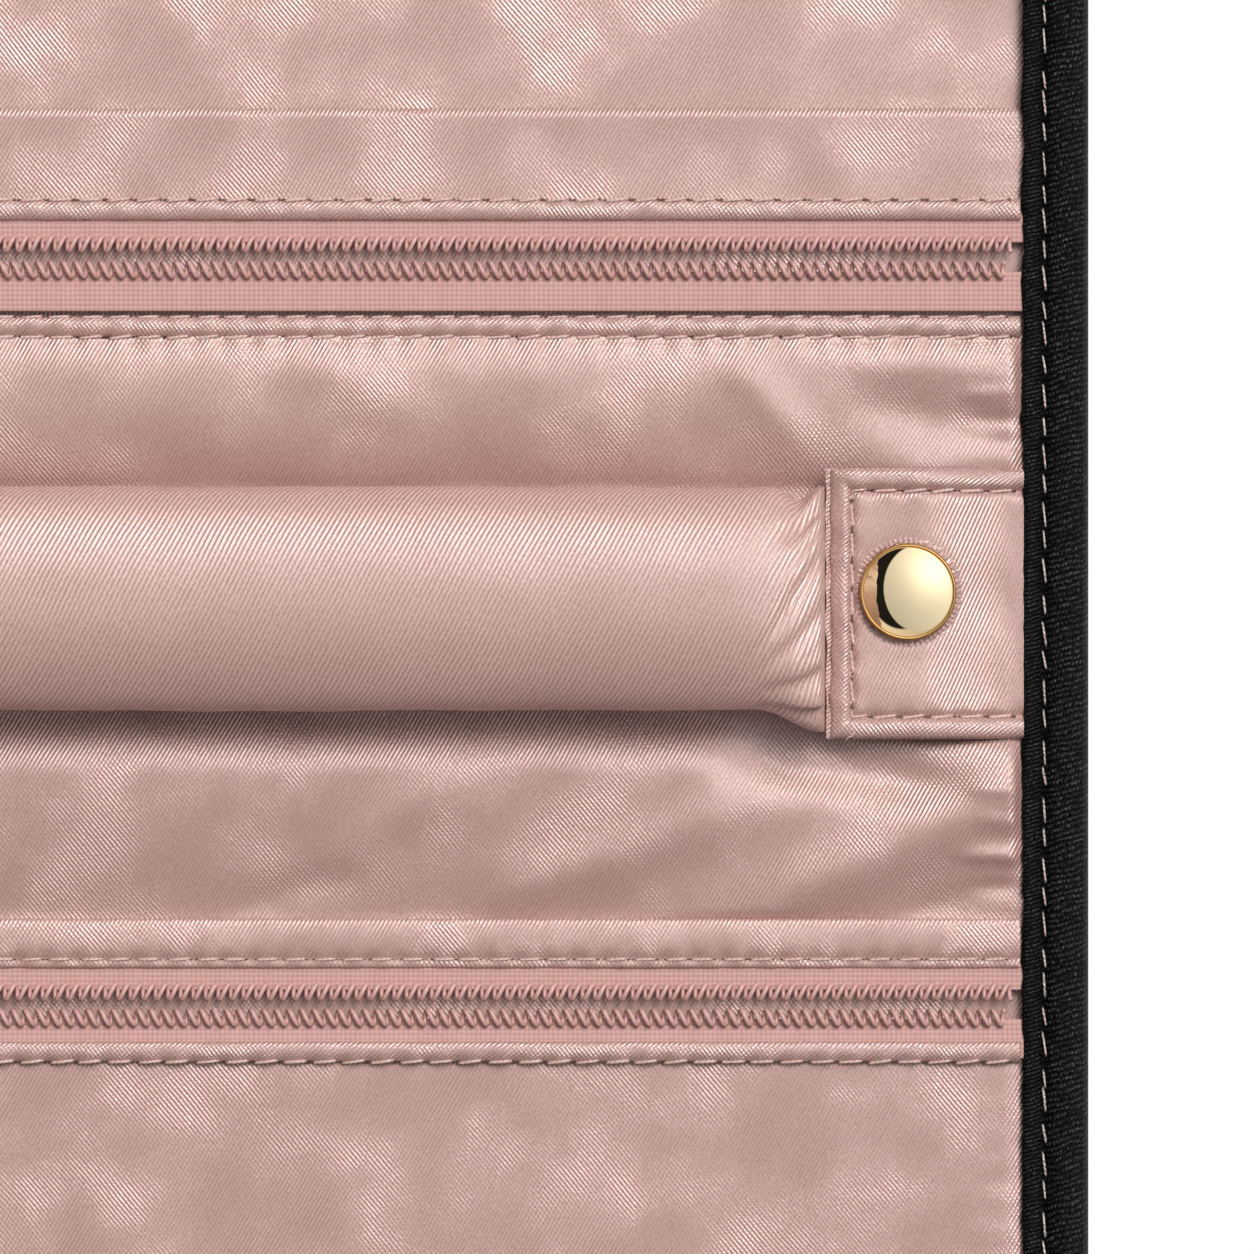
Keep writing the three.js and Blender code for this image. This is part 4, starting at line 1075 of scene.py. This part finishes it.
def edgePath(side, inset, step):
    # from the middle of the spine down one side, round the free edge and back
    free, inward = caseSides[side]["free"], caseSides[side]["inward"]
    radius = case["corner"] - inset
    x = halfWidth - inset
    cornerX = x - radius
    cornerY = free + inward * (inset + radius)
    straight = int(abs(cornerY - midSpine) / step)
    right = [(x, y) for y in np.linspace(midSpine, cornerY, straight, endpoint=False)]
    turn = np.linspace(0, math.pi / 2, 25)
    first = [(cornerX + radius * math.cos(a), cornerY - inward * radius * math.sin(a)) for a in turn]
    acrossX = np.linspace(cornerX, -cornerX, int(2 * cornerX / step))[1:-1]
    end = [(px, free + inward * inset) for px in acrossX]
    half = right + first + end
    return np.array(half + [(-px, py) for px, py in (right + first)[::-1]])


def acrossPath(path):
    # unit steps a quarter turn to the left of a path
    step = np.gradient(path, axis=0)
    step /= np.linalg.norm(step, axis=1)[:, None]
    return np.stack([-step[:, 1], step[:, 0]], 1)


def addBinding(name, side, replaced):
    path = edgePath(side, 0, tape["step"])
    inward = -caseSides[side]["inward"] * acrossPath(path)
    reach = reachAlong(path)[:, None]

    def alongTape(wave):
        height, seed, length = wave
        return height * ripple(reach, 0 * reach, seed, length)
    outer = np.array(tape["profile"])
    inner = outer + tape["thickness"] * acrossPath(outer)
    inner[:2, 0] = outer[:2, 0]
    arc = reachAlong(outer)
    arc = np.concatenate([arc, arc[::-1]])
    a, z = np.concatenate([outer, inner[::-1]]).T[:, None]
    lip = smoothStep(5.2, 6.9, a)
    onFlap = (path[:, :1] > 0) & (side == "a")
    below, above = tape["overFlap"]
    onFlap = onFlap * smoothStep(*below, path[:, 1:]) * (1 - smoothStep(*above, path[:, 1:]))
    a = a + sum(alongTape(wave) for wave in tape["waver"]) * lip * 1.2 * (1 - 0.5 * onFlap)
    z = z + lip * (z > edgeTop - 1) * (tape["flapLift"] * onFlap + alongTape(tape["lipWave"]))
    a = a - tape["flapReach"] * lip * onFlap
    z = z - tape["pinch"] * pinchedAt(reach) * hump(a, tape["groove"], 0.6) * (z > edgeTop - 1)
    z = z + alongTape(tape["backWave"]) * hump(a, 3, 1.2) * (z > edgeTop - 1)
    points = np.stack([path[:, :1] + inward[:, :1] * a, path[:, 1:] + inward[:, 1:] * a, z], -1)
    weave = np.stack(np.broadcast_arrays(arc, reach, 0 * a), -1)
    upside = z > edgeTop - 1.2
    # painted shade: the tape's upper side is darkened in the thread's groove and towards its inner and outer
    # edges
    dark = 0.95 * hump(a, tape["groove"], 0.5) + 0.6 * smoothStep(6.5, 7.0, a) + 0.5 * smoothStep(1.2, 0.2, a)
    dark = np.clip(dark * upside, 0, 1)
    faces = tubeFaces(*points.shape[:2], flip=True)
    onLip = ((a > tape["lip"]) & (z > edgeTop - 1)).ravel()
    lipFaces = ("lip", [onLip[face].all() for face in faces])
    bend = caseSides[side]["bend"]
    outward(addMesh(name, points, faces, "binding", bend, weave, dark, replaces=replaced, second=lipFaces))
    groove = edgePath(side, tape["groove"], 1.0)
    stitchRow(name + "Stitches", groove, flat(tape["threadLevel"]), "paleThread", bend, bindingRun)


def flat(level):
    return lambda x, y: level + 0 * x


bindingRun = {**seamRun, "length": 2.7, "short": 0.75, "radius": 0.12, "wobble": 0.2, "hole": 0}
for side in caseSides:
    spineNodes = ["spine_binding_left", "spine_binding_right"]
    addBinding("bindingTape" + side.upper(), side, ["binding_" + side, *spineNodes])
print("bindings")


# Linings, covers and boards behind the satin

stack = {
    "inset": 1.1, "step": 1.6, "coverRim": 1.9, "padSide": 12, "padEnd": 26, "padFold": 4, "padBevel": 1.4,
}


def coverUnder(side):
    fold = caseSides[side]["fold"]

    def under(x, y):
        inSide = halfWidth - stack["padSide"] - np.abs(x)
        inEnd = np.abs(y - caseSides[side]["free"]) - stack["padEnd"]
        toFold = np.abs(y - fold) - stack["padFold"]
        onPanel = np.minimum.reduce([inSide, inEnd, toFold])
        onSpine = np.minimum(inSide, (foldB - foldA) / 2 - stack["padFold"] - np.abs(y - midSpine))
        inward = np.where((y - fold) * caseSides[side]["inward"] > 0, onSpine, onPanel)
        puff = smoothStep(-0.2, stack["padBevel"] * 1.6, inward)
        groove = 0.25 * hump(inward, 0, 0.7)
        return stack["coverRim"] * (1 - puff) + groove + 0.02 * ripple(x, y, 91, 8)
    return under


for side, facts in caseSides.items():
    inset, letter, bend = stack["inset"], side.upper(), facts["bend"]
    low, high = sorted((facts["free"] + inset * facts["inward"], midSpine))
    lining = panelSheet(
        "lining" + letter, side, low, high, inset, flat(top("lining_" + side)), 0.5, "satin", bend,
        stack["step"], replaces=["lining_" + side, "spine_lining"],
    )
    cut = (2 * (halfWidth - inset) * mm, (high - low) * mm)
    "foamBoard" + letter
    cover = panelSheet(
        "outerCover" + letter, side, low, high, inset, flat(top("outer_cover_" + side)), 0.7, "cover", bend,
        under=coverUnder(side), replaces=["outer_cover_" + side, "spine_cover"],
    )
    boardLow, boardHigh = nodeBox("foam_board_" + side)
    board = panelSheet(
        "foamBoard" + letter, side, boardLow[1], boardHigh[1], inset, flat(boardHigh[2]),
        boardHigh[2] - boardLow[2], "foam", facts["body"], 3.0, replaces=["foam_board_" + side],
    )
spineLow, spineHigh = nodeBox("spine_board")
spineBoard = rectangle(
    "spineBoardFoam", footprint("spine_board"), flat(spineHigh[2]), spineHigh[2] - spineLow[2], "foam",
    "spine", 2.0, roll=0.3, replaces=["spine_board"],
)
print("linings, covers and boards")


# Zippers: woven tapes and a coil each side of the slot

zipper = {
    "pitch": 1.3, "coilCentre": 0.82, "coilWide": 0.779, "coilHigh": 0.45, "wire": 0.26, "perTurn": 10,
    "sides": 5, "tapeFrom": 1.0, "tapeTo": 5.1, "tapeSeat": 0.4, "tapeThick": 0.36, "seams": (3.4, 4.0),
}


def addZipHalf(prefix, part, sign):
    node, name = prefix + "_zip_" + part, prefix + "Zip" + part.title()
    low, high = nodeBox(node)
    slotSide = low[1] if sign > 0 else high[1]
    y0, y1 = sorted((slotSide + sign * zipper["tapeFrom"], slotSide + sign * zipper["tapeTo"]))
    tapeTop = low[2] + zipper["tapeSeat"]

    def tapeHeight(x, y):
        return tapeTop + sum(0.05 * hump(np.abs(y - slotSide), seam, 0.3) for seam in zipper["seams"])
    box, thick = (-bindingInner - 0.6, bindingInner + 0.6, y0, y1), zipper["tapeThick"]
    rectangle(name + "Tape", box, tapeHeight, thick, "tape", "ring_side", 0.6, roll=0.12, replaces=[node])
    turns = int((2 * bindingInner - 0.6) / zipper["pitch"])
    t = np.arange(turns * zipper["perTurn"] + 1) / zipper["perTurn"]
    phase = 2 * math.pi * t
    x = -bindingInner + zipper["pitch"] * (t + (0.5 if sign > 0 else 0) - 0.12 * np.cos(phase))
    y = slotSide + sign * (zipper["coilCentre"] - zipper["coilWide"] * np.cos(phase))
    z = tapeTop + thick + zipper["coilHigh"] * np.sin(phase)
    tubeMesh(name + "Coil", np.stack([x, y, z], -1), zipper["wire"], zipper["sides"], "coil", "ring_side")


for prefix in ("ring", "pocket"):
    addZipHalf(prefix, "upper", 1)
    addZipHalf(prefix, "lower", -1)
print("zippers")


# Catch pocket of the necklace side, gathered on its elastic

catch = {"bulge": 6.5, "rise": 14, "gathers": 24, "gatherDepth": 0.55, "step": 0.8, "thickness": 0.5}
pocketLow, pocketHigh = nodeBox("catch_pocket")
elasticLow, elasticHigh = nodeBox("pocket_elastic")
pocketReach = bindingInner - 0.3


def pocketArch(x, y):
    along = np.sin(np.clip((y - pocketLow[1]) / catch["rise"], 0, 1) * math.pi / 2)
    return catch["bulge"] * np.clip(1 - np.abs(x / pocketReach) ** 4, 0, 1) * along


def pocketHeight(x, y):
    along = np.clip((y - pocketLow[1]) / (pocketHigh[1] - pocketLow[1]), 0, 1)
    sway = x + 1.5 * ripple(x, y, 95, 40)
    beat = math.pi * sway * catch["gathers"] / pocketReach
    gather = np.cos(beat) + 0.4 * np.cos(1.7 * beat + 1)
    inside = np.clip(1 - np.abs(x / pocketReach) ** 8, 0, 1)
    folds = catch["gatherDepth"] * (gather * 0.5 - 0.7) * along ** 2.2 * inside
    return sheetTop + pocketArch(x, y) + folds + 0.12 * ripple(x, y, 96, 20) * inside * along


def elasticHeight(x, y):
    sway = x + 0.8 * ripple(x, y, 98, 30)
    ruche = 0.16 * np.cos(2 * math.pi * sway / 1.9) + 0.1 * np.cos(2 * math.pi * sway / 3.1 + 1)
    middle = (elasticLow[1] + elasticHigh[1]) / 2
    channel = 0.14 * hump(y, middle, 0.5)
    return sheetTop + pocketArch(x, y) + 0.55 + ruche - channel


pocketCloth = rectangle(
    "catchPocketCloth", (-ringReach, ringReach, pocketLow[1], pocketHigh[1]), pocketHeight,
    catch["thickness"], "satin", "necklace_side", catch["step"], replaces=["catch_pocket"],
)
rectangle(
    "pocketElasticBand", (-pocketReach, pocketReach, elasticLow[1], elasticHigh[1]), elasticHeight, 1.1,
    "hem", "necklace_side", 0.42, roll=0.35, replaces=["pocket_elastic"],
)
for number, y in enumerate((elasticLow[1] + 1.1, elasticHigh[1] - 1.1)):
    path = [(-pocketReach + 1, y), (pocketReach - 1, y)]
    stitchRow(f"pocketElasticStitches{number + 1}", path, elasticHeight, "thread", "necklace_side", edgeRun)
pocketDeep = (pocketHigh[1] - pocketLow[1]) * mm
print("catch pocket")


# Closure strap: webbing in two flat pieces, from the free edge to a rounded tip

strapLow, strapHigh = nodeBox("closure_strap")
tipLow, tipHigh = nodeBox("closure_tip")
tipFold = (strapHigh[1] + tipLow[1]) / 2
strapHalf = strapHigh[0]
strapMiddle = (strapLow[1] + strapHigh[1]) / 2


strap = {"roll": 0.45, "welt": 0.06, "seam": 2.2, "bend": 2.5}
strapRun = {**seamRun, "seed": 8, "radius": 0.14, "proud": 0.0, "dip": 0.2, "hole": 0}


def webbing(name, y0, y1, bend, replaced, roundEnd):
    tip = y1 - strapHalf * (1 - np.cos(np.linspace(0, math.pi / 2, 20)))
    y = np.unique(np.concatenate([spread(y0, y1, 0.8), tip]))
    y = y[(y >= y0) & (y <= y1)]
    span = np.full_like(y, strapHalf)
    if roundEnd:
        rest = np.clip(y - (y1 - strapHalf), 0, strapHalf)
        span = np.maximum(np.sqrt(strapHalf ** 2 - rest ** 2), 0.8)
    s = np.sin(np.linspace(-math.pi / 2, math.pi / 2, 45))
    x = span[:, None] * s[None, :]
    yy = np.broadcast_to(y[:, None], x.shape)
    inward = span[:, None] - np.abs(x)
    drop = rollOff(inward, strap["roll"])
    upper, lower = strapHigh[2] - drop + strap["welt"] * hump(inward, 1.8, 0.8), strapLow[2] + drop
    clothPatch(name, x, yy, upper, lower, "binding", bend, replaces=replaced)
    edge, rowStart, rowEnd = strapHalf - strap["seam"], y0 + 0.5, y1 - (strapHalf + 0.5 if roundEnd else 0.5)
    path = [(-edge, rowStart), (-edge, rowEnd)]
    back = [(edge, rowStart), (edge, rowEnd)]
    if roundEnd:
        arc = np.linspace(math.pi, 0, 19)
        bow = [(edge * math.cos(a), y1 - strapHalf + edge * math.sin(a)) for a in arc]
        path = path + bow + back[::-1]
    stitchRow(name + "Stitches", path, flat(strapHigh[2]), "blackThread", bend, strapRun)
    if not roundEnd:
        stitchRow(name + "BackStitches", back, flat(strapHigh[2]), "blackThread", bend, strapRun)


rootBend = ("necklace_side", "closure_strap", strapLow[1] - strap["bend"], strapLow[1] + strap["bend"])
tipBend = ("closure_strap", "closure_tip", tipFold - strap["bend"], tipFold + strap["bend"])
webbing("closureStrapWeb", freeB - 0.4, strapMiddle, rootBend, ["closure_strap"], False)
webbing("closureTipWeb", strapMiddle, tipHigh[1], tipBend, ["closure_tip", "closure_strap"], True)
print("closure strap")


# Hardware that keeps its shape from the frame

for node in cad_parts.values():
    if not node.hide_render:
        node.data.materials.clear()
        node.data.materials.append(materials["hardware"])
        print("kept:", node.name)


# Stage, lights and camera

studio = {
    "fill": 0.34, "fromWalls": 0.12, "colour": (1, 0.99, 0.985), "key": 26, "spread": 44,
    "keyFrom": (0.26, 0.43, 0.865), "softbox": 2.9, "boxSpread": 8, "boxFrom": (0.38, 0.40, 0.83),
    "low": 0.07, "seen": 1.0, "floor": 0.93, "floorGlow": 0.4, "floorHalf": 3.0, "floorDrop": 0.0004,
}
# What a polished cap mirrors, in mm on its dome seen from above: the centre and half widths of each patch
mirrored = {
    "ball": 7.7, "overhead": (-0.04, -0.005, 1), "softbox": (1.08, 0.38, 3.62, 4.45),
    "card": (-0.62, 0.5, 3.5, 4.35), "warm": (1, 0.88, 0.76), "dark": 0.015, "edge": 0.09,
    "even": 0.56, "slope": 0.42, "hot": (2.6, 2.2), "hotGlow": 0.9, "hotFade": 0.19,
    "wall": (0.82, -0.07, 0.02),
}
view = {"centre": (60.06, -2.9), "width": 129.28, "focus": 9.7, "lens": 200, "sensor": 36, "near": 0.05}


def addCamera():
    data = bpy.data.cameras.new("camera")
    data.lens = view["lens"]
    data.sensor_width = view["sensor"]
    data.clip_start = view["near"]
    camera = bpy.data.objects.new("camera", data)
    distance = view["width"] * view["lens"] / view["sensor"]
    x, y = view["centre"]
    camera.location = toFrame([x, y, view["focus"] + distance])
    bpy.context.scene.collection.objects.link(camera)
    bpy.context.scene.camera = camera


def addStage():
    s = Shader(bpy.data.materials.new("paleFloor"))
    s.set(Base_Color=[studio["floor"]] * 3, Roughness=0.9)
    seen = s.node("ShaderNodeLightPath", {}, {}, "Is Camera Ray")
    glow = s.node("ShaderNodeEmission", {}, {"Color": (1, 1, 1), "Strength": 1.0})
    ends = {0: seen * studio["floorGlow"], 1: Field(s, s.surface.outputs[0]), 2: glow}
    s.plug(s.output.inputs["Surface"], s.node("ShaderNodeMixShader", {}, ends))
    mesh = bpy.data.meshes.new("floor")
    reach = studio["floorHalf"]
    corners = [(-reach, -reach, 0), (reach, -reach, 0), (reach, reach, 0), (-reach, reach, 0)]
    mesh.from_pydata(corners, [], [(0, 1, 2, 3)])
    mesh.materials.append(s.owner)
    floor = bpy.data.objects.new("floor", mesh)
    floor.location.z = min(cadLow.z, 0) - studio["floorDrop"]
    bpy.context.scene.collection.objects.link(floor)


def addSky():
    # an even room with one soft light high up the photograph; satin mirrors it as a broad glow
    s = Shader(bpy.data.worlds.new("studio"), "ShaderNodeBackground", "ShaderNodeOutputWorld")
    way = s.node("ShaderNodeTexCoord", {}, {}, "Generated")

    def facing(target):
        aim = Vector(target).normalized()
        dot = s.node("ShaderNodeVectorMath", {"operation": "DOT_PRODUCT"}, {0: way, 1: aim}, "Value")
        return dot.maths("MAXIMUM", dot, 0)
    room = studio["fill"] * (studio["fromWalls"] + (1 - studio["fromWalls"]) * facing((0, 0, 1)))
    room = room + studio["key"] * facing(studio["keyFrom"]) ** studio["spread"]
    glow = studio["low"] + studio["softbox"] * facing(studio["boxFrom"]) ** studio["boxSpread"]

    # polished metal mirrors a gathered softbox, a dark card beside it and a pale wall beyond
    between = s.node("ShaderNodeVectorMath", {"operation": "ADD"}, {0: way, 1: mirrored["overhead"]})
    facet = s.node("ShaderNodeVectorMath", {"operation": "NORMALIZE"}, {0: between})
    x, y = s.axis(facet, "X") * mirrored["ball"], s.axis(facet, "Y") * mirrored["ball"]

    def within(patch):
        centreX, centreY, wide, tall = patch
        reach = ((x - centreX) / wide).squared() + ((y - centreY) / tall).squared()
        return ((1 - reach) / mirrored["edge"] + 0.5).clamped()
    box = within(mirrored["softbox"])
    card = within(mirrored["card"]) * (1 - box)
    slope = ((x * 0.78 + y * 0.62) / 6 + 0.5).clamped()
    away = (x - mirrored["hot"][0]).squared() + (y - mirrored["hot"][1]).squared()
    hot = math.e ** (away * -mirrored["hotFade"])
    inBox = mirrored["even"] + mirrored["slope"] * slope + mirrored["hotGlow"] * hot
    level, alongX, alongY = mirrored["wall"]
    wall = (level + alongX * x + alongY * y).clamped()
    metal = inBox * box + mirrored["dark"] * card + wall * (1 - box) * (1 - card)
    tint = s.mix((1 - box) * (1 - card), studio["colour"], mirrored["warm"])

    seen = s.node("ShaderNodeLightPath", {}, {}, "Is Camera Ray")
    glossy = s.node("ShaderNodeLightPath", {}, {}, "Is Glossy Ray")
    polished = s.node("ShaderNodeLightPath", {}, {}, "Is Singular Ray")
    strength = room * (1 - glossy) + (glow * (1 - polished) + metal * polished) * glossy
    colour = s.mix(polished * glossy, studio["colour"], tint)
    s.set(Color=colour, Strength=strength * (1 - seen) + studio["seen"] * seen)
    bpy.context.scene.world = s.owner


addCamera()
addStage()
addSky()
bpy.context.scene.view_settings.view_transform = "Standard"
print("stage, lights and camera")
